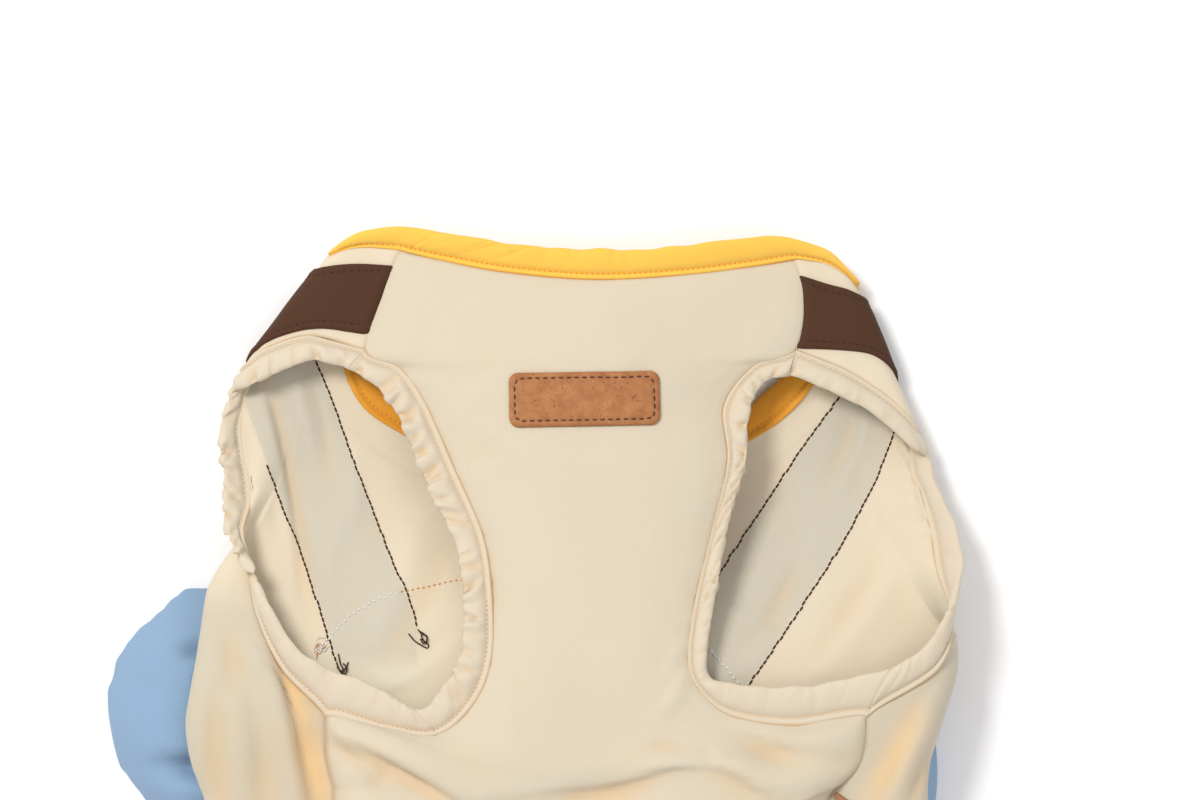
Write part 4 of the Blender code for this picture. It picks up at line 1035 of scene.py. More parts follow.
def make_band(
    name, stations, material, step, gathers, strengths, gather_height, seed, full, join, inside_shade=None
):
    """A bound edge all round an opening, with uneven gathers and a join as (bearing, step
    height), and painted warm shade in its creases and grooves. The last argument gives a
    mask of what lies inside the garment, where that painted shade is laid too. The second
    result gives the lines of its stitches, as points and normals, at a lift from their grooves."""
    frees = [np.array(station[2]) for station in stations]
    rough_length = sum(np.linalg.norm(a - b) for a, b in zip(frees, frees[1:]))
    seam, free, marks = ring(stations, int(rough_length / step))
    side = free - seam
    normal = unit(np.cross(np.gradient(0.5 * (seam + free), axis=0), side))
    if normal[: len(normal) // 4, 2].mean() < 0:
        normal = -normal
    shares, heights, gives = np.array(BOUND_EDGE).T[:, None]
    heights = heights * full
    width = np.linalg.norm(side, axis=1, keepdims=True)
    middle = 0.5 * (seam + free)[:, :2]
    from_middle = middle - middle.mean(axis=0)
    bearings = np.degrees(np.arctan2(from_middle[:, 1], from_middle[:, 0]))
    puffs = gather_puffs(marks, shares, width, bearings, strengths, gathers, gather_height, seed)
    phases = np.random.default_rng(seed).uniform(0, 6, 3)
    slow = sum(
        np.sin(2 * math.pi * turns * marks / marks[-1] + phase) / 3
        for turns, phase in zip((9, 16, 27), phases)
    )[:, None]
    rise = heights + gives * puffs + 0.3 * slow * held(shares)
    join_at = marks[np.abs(shorter_way(bearings - join[0], 360)).argmin()]
    away = marks[:, None] - join_at - 0.15 * (shares - 0.5) * width
    rise += np.sign(heights) * join[1] * (away > 0) * held(1 - away / JOIN_FADE)
    rise -= 0.35 * np.sign(heights) * bell(away / 0.5) * (shares > 0.0)
    edge = held((shares - 0.55) / 0.4)
    reach = shares + edge * (0.06 * slow + 0.13 * np.abs(gives) * np.clip(puffs, -1, 0.8))
    points = seam[:, None] + side[:, None] * reach[..., None] + normal[:, None] * rise[..., None]
    points = np.concatenate([points, points[:, :1]], axis=1)
    points[..., 2] = np.maximum(points[..., 2], TABLE_CLEAR)
    uv = np.stack(np.broadcast_arrays(marks[:, None], mean_run(points, 1)[None]), axis=2)
    # Painted warm shade: in the creases between the gathers, in the groove of the stitches and in
    # the groove beside the panel
    band_shade = np.clip(-np.abs(gives) * puffs / 2.2, 0, 0.5) + 0.6 * bell((shares - 0.18) / 0.03)
    band_shade = held(0.8 * band_shade + 0.9 * held(0.5 - shares / 0.03))
    band_shade = np.concatenate([band_shade, band_shade[:, :1]], axis=1)
    if inside_shade is not None:
        band_shade = np.maximum(band_shade, inside_shade(points))
    piece = make_grid_piece(name, points, uv * UV_PER_MM, material, {"painted_shade": band_shade})

    def stitch_lines(lift):
        return [
            (points[:, point] + normal * lift * facing, normal * facing)
            for point, facing in STITCH_GROOVES
        ]

    return piece, stitch_lines


STITCH_SIDES = 6
STITCH_RINGS = (
    # place along the stitch, share of its thickness
    (-0.5, 0), (-0.44, 0.55), (-0.3, 0.92), (0, 1), (0.3, 0.92), (0.44, 0.55), (0.5, 0),
)
TURN_PER_V = 6.3  # radians round a thread for one V of its UVs


def stitch_mesh(starts, ends, normals, radius, arch):
    """Points, faces and UVs of short threads from starts to ends, arched off the cloth."""
    middle, run = 0.5 * (starts + ends), ends - starts
    side = unit(np.cross(run, normals))
    points, uv = [], []
    for place, thick in STITCH_RINGS:
        centre = middle + run * place + normals * (arch * (1 - 4 * place**2))
        for turn in np.arange(STITCH_SIDES) / STITCH_SIDES * 2 * math.pi:
            out = side * math.cos(turn) + normals * math.sin(turn)
            points.append(centre + out * radius * thick)
            uv.append((place + 0.5, turn / TURN_PER_V))
    count = len(starts)
    points = np.array(points).transpose(1, 0, 2).reshape(-1, 3)
    uv = np.tile(np.array(uv), (count, 1))
    corner = np.arange(len(STITCH_RINGS) * STITCH_SIDES).reshape(len(STITCH_RINGS), STITCH_SIDES)
    after = np.roll(corner, -1, axis=1)
    one = np.stack([corner[:-1], after[:-1], after[1:], corner[1:]], axis=2).reshape(-1, 4)
    shift = (np.arange(count) * corner.size)[:, None, None]
    return points, (one[None] + shift).reshape(-1, 4), uv


def make_stitches(
    name, lines, material, pitch, fill, radius, arch=0.12, sway=0.0, seed=1, start=0.0
):
    """Rows of stitches in one piece. A line is its points and normals, fill is the share
    of the pitch that shows as thread, and start is where in the pitch it begins."""
    draw = np.random.default_rng(seed)
    parts, offset = [], 0
    for points, normals in lines:
        run = run_along(points)
        marks = np.arange(0.0, run[-1], pitch)
        if len(marks) < 2:
            continue
        at, up = read_along(points, run, marks), read_along(normals, run, marks)
        step = at[1:] - at[:-1]
        side = unit(np.cross(step, up[:-1]))
        off = side * draw.normal(0, sway, (len(step), 1)) + step * start
        part = stitch_mesh(at[:-1] + off, at[:-1] + step * fill + off, up[:-1], radius, arch)
        parts.append((part[0], part[1] + offset, part[2]))
        offset += len(part[0])
    points, faces, uv = (np.concatenate([part[k] for part in parts]) for k in range(3))
    return make_piece(name, points, faces, uv, material, weld=True)


def make_thread(name, routes, material, radius):
    """Loose threads: round tubes along smooth routes of points."""
    points, faces, uv = [], [], []
    for route in routes:
        line = smooth(np.array(route, float), np.linspace(0, len(route) - 1, 10 * len(route)))
        ahead = unit(np.gradient(line, axis=0))
        side = unit(np.cross(ahead, (0.12, 0.2, 1.0)))
        up = np.cross(side, ahead)
        turns = np.arange(STITCH_SIDES + 1) / STITCH_SIDES * 2 * math.pi
        cos, sin = np.cos(turns)[None, :, None], np.sin(turns)[None, :, None]
        tube = line[:, None] + radius * (side[:, None] * cos + up[:, None] * sin)
        ends = [np.broadcast_to(end, tube[:1].shape) for end in (line[:1, None], line[-1:, None])]
        tube = np.concatenate([ends[0], tube, ends[1]])
        faces.append(quads(*tube.shape[:2]) + sum(len(part) for part in points))
        place = np.linspace(0, 1, len(tube))[:, None]
        grid = np.stack(np.broadcast_arrays(place, turns[None] / TURN_PER_V), axis=2)
        uv.append(grid.reshape(-1, 2))
        points.append(tube.reshape(-1, 3))
    points, faces, uv = (np.concatenate(parts) for parts in (points, faces, uv))
    return make_piece(name, points, faces, uv, material, weld=True)


FAR_BELOW, FAR_ABOVE = -100.0, 200.0  # where lines of sight to the cloth start


class Cloth:
    """A grid that pieces are laid on: it gives the point and normal over or under a place."""

    def __init__(self, grid, cells=None):
        faces = quads(*grid.shape[:2], cells)
        self.tree = BVHTree.FromPolygons(grid.reshape(-1, 3).tolist(), faces.tolist())

    def underside(self, x, y):
        """The lowest point of the cloth at a place in plan, or None beside the cloth."""
        return self.tree.ray_cast(Vector((x, y, FAR_BELOW)), Vector((0, 0, 1)))[0]

    def at(self, x, y, from_below=False):
        """The point of the cloth at a place in plan and its normal, upward or downward."""
        start, way = (FAR_BELOW, 1) if from_below else (FAR_ABOVE, -1)
        spot, normal, _, _ = self.tree.ray_cast(Vector((x, y, start)), Vector((0, 0, way)))
        if spot is None:
            spot, normal, _, _ = self.tree.find_nearest(Vector((x, y, 0)))
        facing = normal if normal.z * way < 0 else -normal
        return np.array(spot), np.array(facing)

    def inside_line(self, route):
        """Points and upward normals on the upper side of the cloth's lowest layer, along a
        smooth route in plan."""
        path = smooth(np.array(route, float), np.linspace(0, len(route) - 1, 20 * len(route)))
        count = max(3, int(run_along(path)[-1]))
        spots = [self.at(x, y, from_below=True) for x, y in evenly(path, count)]
        points, normals = (np.array(part) for part in zip(*spots))
        return points - normals * (CLOTH / 2), -normals


STRAP_INNER = CLOTH / 2 + 0.12  # underside of a strap from the middle of the panel
STRAP_LOOK = 1.25  # its thickness
STRAP_LOWEST = (0.03, 0.06)  # heights over the table of its outside and its inside
STRAP_CAUGHT = (1.4, 1.5)  # how far its end goes into the yoke seam, and how far down
STRAP_SNAP = 3.0  # how near the shoulder's cloth has to be for a strap to lie on it
STRAP_PLACES = 150  # along it
TRIM_CLEAR = CLOTH / 2 + 0.1  # underside of the label and the tab

STRAP_SECTION = (
    # share across, height of the upper side over the cloth
    (0, 0.15), (0.012, 0.7), (0.05, 0.98), (0.09, 0.86), (0.115, 0.78), (0.14, 0.88), (0.19, 0.96),
    (0.25, 1), (0.32, 1.02), (0.38, 1.04), (0.44, 1.05), (0.5, 1.05), (0.56, 1.05), (0.62, 1.04),
    (0.68, 1.02), (0.75, 1), (0.81, 0.96), (0.86, 0.88), (0.885, 0.78), (0.91, 0.86), (0.95, 0.98),
    (0.988, 0.7), (1, 0.15),
)
STRAP_STITCHES = (0.115, 0.885)


def strap_middle(hand, cloth, along, shares):
    """Points of the back panel under a strap: places along it by shares across it. The
    first ones go over the shoulder, and the others lie under the back's bed."""
    stations = []
    for row, ends in enumerate(STRAP_HORN[hand]):
        columns = np.interp(shares, (0, 1), ends) * SIDE_COLUMNS
        if hand == "right":
            columns = BACK_LAST_COLUMN - columns
        stations.append(back_points(np.full_like(columns, row), columns))
    for arm_x, arm_y, neck_x, neck_y in STRAP_BACK[hand]:
        x = np.interp(shares, (0, 1), (arm_x, neck_x))
        y = np.interp(shares, (0, 1), (arm_y, neck_y))
        stations.append(np.array([cloth.at(*place, from_below=True)[0] for place in zip(x, y)]))
    middle = smooth(np.array(stations), along)
    last_horn = len(STRAP_HORN[hand]) - 1
    for i, at in enumerate(along):
        for j, (x, y, z) in enumerate(middle[i]):
            if at < last_horn:
                spot, _, _, away = cloth.tree.find_nearest(Vector((x, y, z)))
                found = spot if away < STRAP_SNAP else None
            else:
                found = cloth.underside(x, y)
            if found is not None:
                middle[i, j] = found
    for _ in range(4):
        middle[1:-1] = 0.5 * middle[1:-1] + 0.25 * (middle[:-2] + middle[2:])
    return middle


def make_strap(hand, cloth, material):
    """A strap with folded edges on the outside of the back panel. It returns the piece and
    the lines of its two rows of stitches."""
    horns = len(STRAP_HORN[hand])
    along = np.linspace(0, horns + len(STRAP_BACK[hand]) - 1, STRAP_PLACES)
    shares, heights = np.array(STRAP_SECTION).T
    middle = strap_middle(hand, cloth, along, shares)
    if hand == "right":
        middle = middle[:, ::-1]
    out = -grid_normals(middle)
    inner = middle + out * STRAP_INNER
    outer = middle + out * (STRAP_INNER + STRAP_LOOK * heights[None, :, None])
    for i in np.flatnonzero(along > horns - 0.5):
        for j, (x, y, z) in enumerate(inner[i]):
            # here the strap lies under the bed, so it has to stay below that cloth
            found = cloth.underside(x, y)
            if found is not None:
                drop = min(0.0, found.z - STRAP_INNER - z)
                inner[i, j, 2] += drop
                outer[i, j, 2] += drop
    into_seam, sunk = STRAP_CAUGHT
    for side, lowest in zip((outer, inner), STRAP_LOWEST):
        side[0] += unit(middle[0] - middle[1]) * into_seam - np.array([0, 0, sunk])
        side[..., 2] = np.maximum(side[..., 2], lowest)
    loop = np.concatenate([outer, inner[:, ::-1], outer[:, :1]], axis=1)
    ends = [end * 0 + end.mean(axis=1, keepdims=True) for end in (loop[:1], loop[-1:])]
    loop = np.concatenate([ends[0], loop, ends[1]])
    over, down = mean_run(loop, 1)[None], -mean_run(loop, 0)[:, None]
    uv = np.stack(np.broadcast_arrays(over, down), axis=2) * UV_PER_MM
    piece = make_grid_piece(f"shoulder_strap_{hand}_look", loop, uv, material)
    columns = [np.abs(shares - share).argmin() for share in STRAP_STITCHES]
    return piece, [(outer[:, column], out[:, 0]) for column in columns]


LABEL_EDGE = (
    # inset, height
    (0, 0.15), (0.05, 0.75), (0.35, 1.15), (0.8, 1.34), (1.5, 1.38), (1.9, 1.16), (2.3, 1.40),
    (3.2, 1.45), (4.6, 1.46), (6.5, 1.46),
    (LABEL_SIZE[1] / 2, 1.46),
)
LABEL_STITCH_INSET = 1.9
LABEL_STITCH_LIFT = 1.3
LABEL_AROUND = 161
UNDER_INSET = 0.3  # of the underside of the label and the tab


def label_outline(inset, count):
    """Points round the label, with round corners, at an inset from its edge."""
    half_width, half_height = LABEL_SIZE[0] / 2 - inset, LABEL_SIZE[1] / 2 - inset
    corner = min(max(LABEL_CORNER - inset * 0.6, 0.4), half_height * 0.98)
    points = []
    for quarter, (sign_x, sign_y) in enumerate(((1, 1), (-1, 1), (-1, -1), (1, -1))):
        for turn in np.linspace(0, math.pi / 2, 9) + quarter * math.pi / 2:
            x = sign_x * (half_width - corner) + corner * math.cos(turn)
            y = sign_y * (half_height - corner) + corner * math.sin(turn)
            points.append((x, y))
    cos, sin = math.cos(LABEL_TILT), math.sin(LABEL_TILT)
    flat = evenly(points + points[:1], count)
    return flat @ np.array([[cos, sin], [-sin, cos]]) + np.array(LABEL_CENTRE)


def raised_rings(cloth, outline, edge, count):
    """Rings of points over a cloth, one for each inset of an outline and its height."""
    rings = []
    for inset, height in edge:
        spots = [cloth.at(x, y) for x, y in outline(inset, count)]
        rings.append([spot + normal * (height + TRIM_CLEAR) for spot, normal in spots])
    return rings


def make_label(cloth, material):
    """The leather label on the chest, with a bare face, and its line of stitches."""
    underside = ((LABEL_SIZE[1] / 2, 0.0), (UNDER_INSET, 0.0))
    rings = np.array(raised_rings(cloth, label_outline, underside + LABEL_EDGE, LABEL_AROUND))
    uv = (rings[..., :2] - np.array(LABEL_CENTRE)) * UV_PER_MM
    piece = make_grid_piece("leather_label_look", rings, uv, material)
    spots = [cloth.at(x, y) for x, y in label_outline(LABEL_STITCH_INSET, 400)]
    points, normals = (np.array(part) for part in zip(*spots))
    return piece, (points + normals * (TRIM_CLEAR + LABEL_STITCH_LIFT), normals)


TAB_EDGE = (
    # inset, height
    (0, 0.2), (0.12, 1), (0.5, 1.35), (1.4, 1.5), (3.2, 1.5),
)
TAB_CORNER = 1.6
TAB_AROUND = 81


def tab_outline(inset, count):
    """Points round the tab at an inset, with its root in the side seam and round corners."""
    root = np.array(TAB_ROOT)
    corners = np.concatenate([root, (root + TAB_REACH)[::-1]])
    middle = corners.mean(axis=0)
    size = np.linalg.norm(corners - middle, axis=1, keepdims=True)
    corners = middle + (corners - middle) * (1 - 1.3 * inset / size)
    reach = max(TAB_CORNER - inset * 0.6, 0.3)
    points = []
    for k, here in enumerate(corners):
        back, on = unit(corners[k - 1] - here), unit(corners[(k + 1) % 4] - here)
        for t in np.linspace(0, 1, 6):
            points.append(here + back * reach * (1 - t) ** 2 + on * reach * t**2)
    return evenly(points + points[:1], count)


def make_tab(cloth, material):
    """The leather tab that is sewn into the right side seam."""
    centre = tab_outline(0.0, TAB_AROUND).mean(axis=0)
    spot, normal = cloth.at(*centre)
    low, high = (spot + normal * (height + TRIM_CLEAR) for height in (0.0, TAB_EDGE[-1][1]))
    rings = raised_rings(cloth, tab_outline, ((UNDER_INSET, 0.0),) + TAB_EDGE, TAB_AROUND)
    points = np.array([[low] * TAB_AROUND] + rings + [[high] * TAB_AROUND])
    uv = (points[..., :2] - centre) * UV_PER_MM
    return make_grid_piece("side_tab_look", points, uv, material)


# Dimples where the pack is caught by its stitches, and soft folds of its cover
PACK_DIMPLES = (
    # x, y, half_x, half_y, depth
    (-107, 35.6, 7, 3.4, 6.5),
    (-109, -2.6, 11, 3.6, 8.5),
    (113, 20, 9, 4, 4),
    (110, -20, 12, 3.4, 5),
    (-60, -46, 5, 10, 2.4),
    (50, -48, 5, 10, 2.4),
)
PACK_VOXEL = 4.5
PACK_SHRINK = 2.4  # the sides start this much inside, because the cover swells
PACK_CAP = 6.0  # most that the swelling may move a point
PACK_PRESSURE = 4.0
PACK_FRAMES = 20
PACK_EVENING = 8  # passes over the swollen cover
PACK_UNDER = 0.5  # clear gap to the panel that it is sewn on
PACK_SLACK = 3.0  # that the cover may stand out beside the solid
PACK_RIPPLES = ((31, 34, 1.0), (32, 12, 0.25))  # seed, wavelength, height
PACK_NOTCHES = (
    # bearing, half width, depth: a notch where a dimple reaches the edge, or with a depth
    # below 0 a bulge
    (math.radians(-172.5), 0.11, 3.0),
    (math.radians(161), 0.14, -3.8),
)


def baked(piece):
    """The piece's mesh with its modifiers applied, in place of its own."""
    view = bpy.context.evaluated_depsgraph_get()
    mesh = bpy.data.meshes.new_from_object(piece.evaluated_get(view))
    piece.modifiers.clear()
    piece.data = mesh
    return mesh


def read_points(mesh, what="co"):
    """The points of a mesh in metres, or their normals."""
    values = np.empty(len(mesh.vertices) * 3)
    mesh.vertices.foreach_get(what, values)
    return values.reshape(-1, 3)


def set_points(mesh, points):
    mesh.vertices.foreach_set("co", (points * MM).ravel())
    mesh.update()


def outline_of(points, middle, bearings):
    """How far the outline is from a middle in plan, at some bearings."""
    away = points[:, :2] - middle
    bearing, reach = np.arctan2(away[:, 1], away[:, 0]), np.hypot(*away.T)
    near = np.abs(shorter_way(bearing[None] - bearings[:, None], 2 * math.pi)) < 0.05
    return np.where(near, reach[None], 0).max(axis=1)


def evened(values, reach):
    """Values round a ring, each averaged with its neighbours."""
    around = np.concatenate([values[-reach:], values, values[:reach]])
    return np.convolve(around, np.full(2 * reach + 1, 1 / (2 * reach + 1)), "valid")


def pack_reach(bearings):
    """How far the pack's edge is from its centre in plan: a squarish oval with notches."""
    turned = bearings - PACK_TILT
    half_y = np.where(np.sin(turned) > 0, PACK_HALF_UP, PACK_HALF_DOWN)
    across = np.abs(np.cos(turned) / PACK_HALF_WIDTH) ** PACK_ROUND
    upward = np.abs(np.sin(turned) / half_y) ** PACK_ROUND
    reach = (across + upward) ** (-1 / PACK_ROUND)
    for at, half, depth in PACK_NOTCHES:
        reach -= depth * bell(shorter_way(bearings - at, 2 * math.pi) / half)
    return reach


def keep_outline(points):
    """Points of a swollen cover, stretched in plan to the outline of the pattern."""
    middle = np.array(PACK_CENTRE)
    bearings = np.linspace(-math.pi, math.pi, 181)[:-1]
    for _ in range(2):
        share = evened(pack_reach(bearings) / outline_of(points, middle, bearings), 4)
        away = points[:, :2] - middle
        at = np.arctan2(away[:, 1], away[:, 0])
        grow = np.interp(at, bearings, share, period=2 * math.pi)
        points = points.copy()
        points[:, :2] = middle + away * grow[:, None]
    return points


def swollen_cover(piece):
    """The piece's mesh after its filling has pressed it out, evened and made finer."""
    remesh = piece.modifiers.new("remesh", "REMESH")
    remesh.mode = "VOXEL"
    remesh.voxel_size = PACK_VOXEL * MM
    mesh = baked(piece)
    before, normals = read_points(mesh) / MM, read_points(mesh, "normal")
    set_points(mesh, before - normals * PACK_SHRINK * (np.abs(normals[:, 2:]) < 0.9))
    cover = piece.modifiers.new("cloth", "CLOTH")
    cover.settings.use_pressure = True
    cover.settings.uniform_pressure_force = PACK_PRESSURE
    cover.settings.effector_weights.gravity = 0.0
    for number in range(1, PACK_FRAMES + 1):
        bpy.context.scene.frame_set(number)
    mesh = baked(piece)
    bpy.context.scene.frame_set(1)
    moved = read_points(mesh) / MM - before
    far = np.linalg.norm(moved, axis=1, keepdims=True)
    set_points(mesh, before + moved * np.minimum(1, PACK_CAP / np.maximum(far, 1e-6)))
    piece.modifiers.new("evener", "SMOOTH").iterations = PACK_EVENING
    piece.modifiers.new("finer", "SUBSURF").levels = 1
    return baked(piece)


def make_pack(cloth, material):
    """The padded pack: its cover swells round its filling, is caught in dimples, and stays
    on the table and under the back panel."""
    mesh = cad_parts["back_pack"].data.copy()
    piece = bpy.data.objects.new("back_pack_look", mesh)
    bpy.context.scene.collection.objects.link(piece)
    mesh = swollen_cover(piece)
    set_points(mesh, keep_outline(read_points(mesh) / MM))
    points, normals = read_points(mesh) / MM, read_points(mesh, "normal")
    x, y = points[:, 0], points[:, 1]
    dent = np.zeros(len(points))
    for at_x, at_y, half_x, half_y, depth in PACK_DIMPLES:
        dent += depth * np.exp(-(((x - at_x) / half_x) ** 2) - ((y - at_y) / half_y) ** 2)
    soft = ripples(x, y, PACK_RIPPLES) * (normals[:, 2] > -0.8)
    points += normals * (soft - dent * held(normals[:, 2] + 0.4))[:, None]
    low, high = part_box("back_pack")
    for k, slack in enumerate((PACK_SLACK, PACK_SLACK, 0.0)):
        points[:, k] = np.clip(points[:, k], low[k] / MM - slack, high[k] / MM + slack)
    points[:, 2] = np.maximum(points[:, 2], TABLE_CLEAR)
    for k, (at_x, at_y, at_z) in enumerate(points):
        found = cloth.underside(at_x, at_y)
        if found is not None:
            highest = found.z - (PACK_UNDER + CLOTH / 2)
            points[k, 2] = min(at_z, max(highest, TABLE_CLEAR))
    set_points(mesh, points)
    set_uv(mesh, points[:, :2] * UV_PER_MM)
    mesh.materials.clear()
    mesh.materials.append(material)
    mesh.shade_smooth()
    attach(piece, BODY)
    return piece


def new_group(name, inputs, outputs):
    """A shader node group with coordinates and other named inputs, as (name, kind, value),
    and named outputs. It returns the group, its wiring, what comes in and what goes out."""
    group = bpy.data.node_groups.new(name, "ShaderNodeTree")
    for title, kind, value in [("Coordinates", "Vector", (0, 0, 0))] + inputs:
        socket = group.interface.new_socket(title, in_out="INPUT", socket_type=f"NodeSocket{kind}")
        socket.default_value = value
    for title, kind in outputs:
        group.interface.new_socket(title, in_out="OUTPUT", socket_type=f"NodeSocket{kind}")
    come, go = group.nodes.new("NodeGroupInput"), group.nodes.new("NodeGroupOutput")
    return group, Wiring(group), come.outputs, go.inputs


class Wiring:
    """Short ways to add linked nodes to one node tree."""

    def __init__(self, tree):
        self.tree = tree

    def put(self, socket, value):
        if isinstance(value, bpy.types.NodeSocket):
            self.tree.links.new(value, socket)
        else:
            socket.default_value = value

    def math(self, operation, *values):
        node = self.tree.nodes.new("ShaderNodeMath")
        node.operation = operation
        for socket, value in zip(node.inputs, values):
            self.put(socket, value)
        return node.outputs[0]

    def times(self, first, second):
        return self.math("MULTIPLY", first, second)

    def times_plus(self, first, second, more):
        return self.math("MULTIPLY_ADD", first, second, more)

    def plus(self, first, second):
        return self.math("ADD", first, second)

    def minus(self, first, second):
        return self.math("SUBTRACT", first, second)

    def wave(self, place, rounds=1.0):
        """The sine of a place, with a number of rounds in each unit of it."""
        return self.math("SINE", self.times(place, rounds * 2 * math.pi))

    def noise(self, vector, scale, detail=2.0, roughness=0.5):
        node = self.tree.nodes.new("ShaderNodeTexNoise")
        self.put(node.inputs["Vector"], vector)
        self.put(node.inputs["Scale"], scale)
        node.inputs["Detail"].default_value = detail
        node.inputs["Roughness"].default_value = roughness
        return node.outputs["Fac"]

    def mix(self, share, first, second, blend="MIX"):
        node = self.tree.nodes.new("ShaderNodeMix")
        node.data_type = "RGBA"
        node.blend_type = blend
        for name, value in (("Factor", share), ("A", first), ("B", second)):
            socket = next(s for s in node.inputs if s.name == name and s.enabled)
            self.put(socket, value)
        return next(s for s in node.outputs if s.enabled)

    def ranged(self, value, *ends):
        """A value taken from its range to another: low, high, and then to low, to high."""
        node = self.tree.nodes.new("ShaderNodeMapRange")
        names = ("Value", "From Min", "From Max", "To Min", "To Max")
        for name, amount in zip(names, (value, *ends)):
            self.put(node.inputs[name], amount)
        return node.outputs["Result"]

    def parts(self, vector):
        node = self.tree.nodes.new("ShaderNodeSeparateXYZ")
        self.put(node.inputs[0], vector)
        return node.outputs

    def group(self, group, **values):
        node = self.tree.nodes.new("ShaderNodeGroup")
        node.node_tree = group
        for name, value in values.items():
            self.put(node.inputs[name.replace("_", " ")], value)
        return node.outputs


def make_jersey_group():
    """Fine jersey: upright wales of small V stitches, and soft uneven yarn."""
    group, w, given, result = new_group(
        "jersey",
        [("Wales", "Float", 100.0), ("Uneven", "Float", 0.5)],
        [("Height", "Float"), ("Yarn", "Float")],
    )
    x, y, _ = w.parts(given["Coordinates"])
    wales = w.times(x, given["Wales"])
    courses = w.times(y, w.times(given["Wales"], 1.25))
    lean = w.math("PINGPONG", wales, 1.0)
    rib = w.math("ABSOLUTE", w.wave(wales, 0.5))
    loop = w.times_plus(w.wave(w.plus(courses, w.times(lean, 0.5))), 0.25, 0.75)
    uneven = w.noise(given["Coordinates"], w.times(given["Wales"], 0.6), 3.0)
    height = w.times_plus(w.minus(uneven, 0.5), given["Uneven"], w.times(rib, loop))
    w.put(result["Height"], height)
    w.put(result["Yarn"], uneven)
    return group


def make_twill_group():
    """Woven twill: slanting ribs that the weft breaks into short floats."""
    group, w, given, result = new_group(
        "twill",
        [("Ribs", "Float", 100.0), ("Slant", "Float", 1.0)],
        [("Height", "Float"), ("Float", "Float")],
    )
    x, y, _ = w.parts(given["Coordinates"])
    wander = w.noise(given["Coordinates"], 14.0)
    slanted = w.plus(w.times(x, given["Slant"]), y)
    place = w.times_plus(slanted, given["Ribs"], w.times(wander, 1.2))
    rib = w.times_plus(w.wave(place), 0.5, 0.5)
    floats = w.times_plus(w.wave(w.times(y, given["Ribs"]), 2.0), 0.15, 0.85)
    yarn = w.noise(given["Coordinates"], w.times(given["Ribs"], 1.7))
    w.put(result["Height"], w.times_plus(w.minus(yarn, 0.5), 0.5, w.times(rib, floats)))
    w.put(result["Float"], rib)
    return group


def make_hide_group():
    """Leather: fine pebbled grain, with soft blotches and a few dark pores."""
    group, w, given, result = new_group(
        "hide",
        [("Grain", "Float", 120.0), ("Blotch", "Float", 14.0)],
        [("Height", "Float"), ("Blotches", "Float"), ("Pores", "Float")],
    )
    place, grain = given["Coordinates"], given["Grain"]
    cells = group.nodes.new("ShaderNodeTexVoronoi")
    cells.feature = "DISTANCE_TO_EDGE"
    w.put(cells.inputs["Vector"], place)
    w.put(cells.inputs["Scale"], grain)
    pebble = w.ranged(cells.outputs["Distance"], 0.0, 0.25, 0.0, 1.0)
    fine = w.noise(place, w.times(grain, 2.5), 3.0)
    w.put(result["Height"], w.times_plus(fine, 0.6, w.times(pebble, 0.6)))
    w.put(result["Blotches"], w.noise(place, given["Blotch"], 4.0, 0.6))
    spots = w.noise(place, w.times(grain, 0.8), 1.0)
    w.put(result["Pores"], w.ranged(spots, 0.64, 0.74, 0.0, 1.0))
    return group


def make_dye_group():
    """Colour of dyed cloth: uneven in large soft patches and from yarn to yarn."""
    floats = [("Patchy", "Float", 0.04), ("Yarn", "Float", 0.5), ("Yarn Contrast", "Float", 0.03)]
    group, w, given, result = new_group(
        "dye", [("Color", "Color", (1, 1, 1, 1))] + floats, [("Color", "Color")]
    )
    patch = w.minus(w.noise(given["Coordinates"], 2.2, 3.0), 0.5)
    patch = w.times_plus(patch, w.times(given["Patchy"], 2.0), 1.0)
    level = w.times_plus(w.minus(given["Yarn"], 0.5), given["Yarn Contrast"], patch)
    grey = group.nodes.new("ShaderNodeCombineColor")
    for socket in grey.inputs[:3]:
        w.put(socket, level)
    w.put(result["Color"], w.mix(1.0, given["Color"], grey.outputs["Color"], "MULTIPLY"))
    return group


JERSEY = make_jersey_group()
TWILL = make_twill_group()
HIDE = make_hide_group()
DYE = make_dye_group()


def start_material(name, roughness, sheen=0.0):
    """A material with its shader, its UV place and a wiring helper."""
    material = bpy.data.materials.new(name)
    material.use_nodes = True
    tree = material.node_tree
    shader = tree.nodes["Principled BSDF"]
    shader.inputs["Roughness"].default_value = roughness
    shader.inputs["Specular IOR Level"].default_value = 0.25
    shader.inputs["Sheen Weight"].default_value = sheen
    shader.inputs["Sheen Roughness"].default_value = 0.5
    place = tree.nodes.new("ShaderNodeTexCoord").outputs["UV"]
    return material, shader, Wiring(tree), place


def add_bump(wiring, shader, height, distance, strength):
    bump = wiring.tree.nodes.new("ShaderNodeBump")
    wiring.put(bump.inputs["Height"], height)
    bump.inputs["Distance"].default_value = distance
    bump.inputs["Strength"].default_value = strength
    wiring.put(shader.inputs["Normal"], bump.outputs["Normal"])


def mask_of(wiring, name):
    node = wiring.tree.nodes.new("ShaderNodeAttribute")
    node.attribute_name = name
    return node.outputs["Fac"]


def knit_material(name, color, tints, wales=150.0):
    """Jersey in one dye. Tints are pairs of a mask and a painted colour that shows there:
    painted shade where another layer lies behind the cloth, and painted warm shade in
    creases, where light comes through it."""
    material, shader, w, place = start_material(name, 0.8, 0.25)
    knit = w.group(JERSEY, Coordinates=place, Wales=wales, Uneven=0.6)
    for mask, tint in tints:
        color = w.mix(mask_of(w, mask), color, tint)
    dyed = w.group(
        DYE, Coordinates=place, Color=color, Patchy=0.03, Yarn=knit["Yarn"], Yarn_Contrast=0.05
    )
    w.put(shader.inputs["Base Color"], dyed["Color"])
    add_bump(w, shader, knit["Height"], 0.00006, 0.5)
    return material


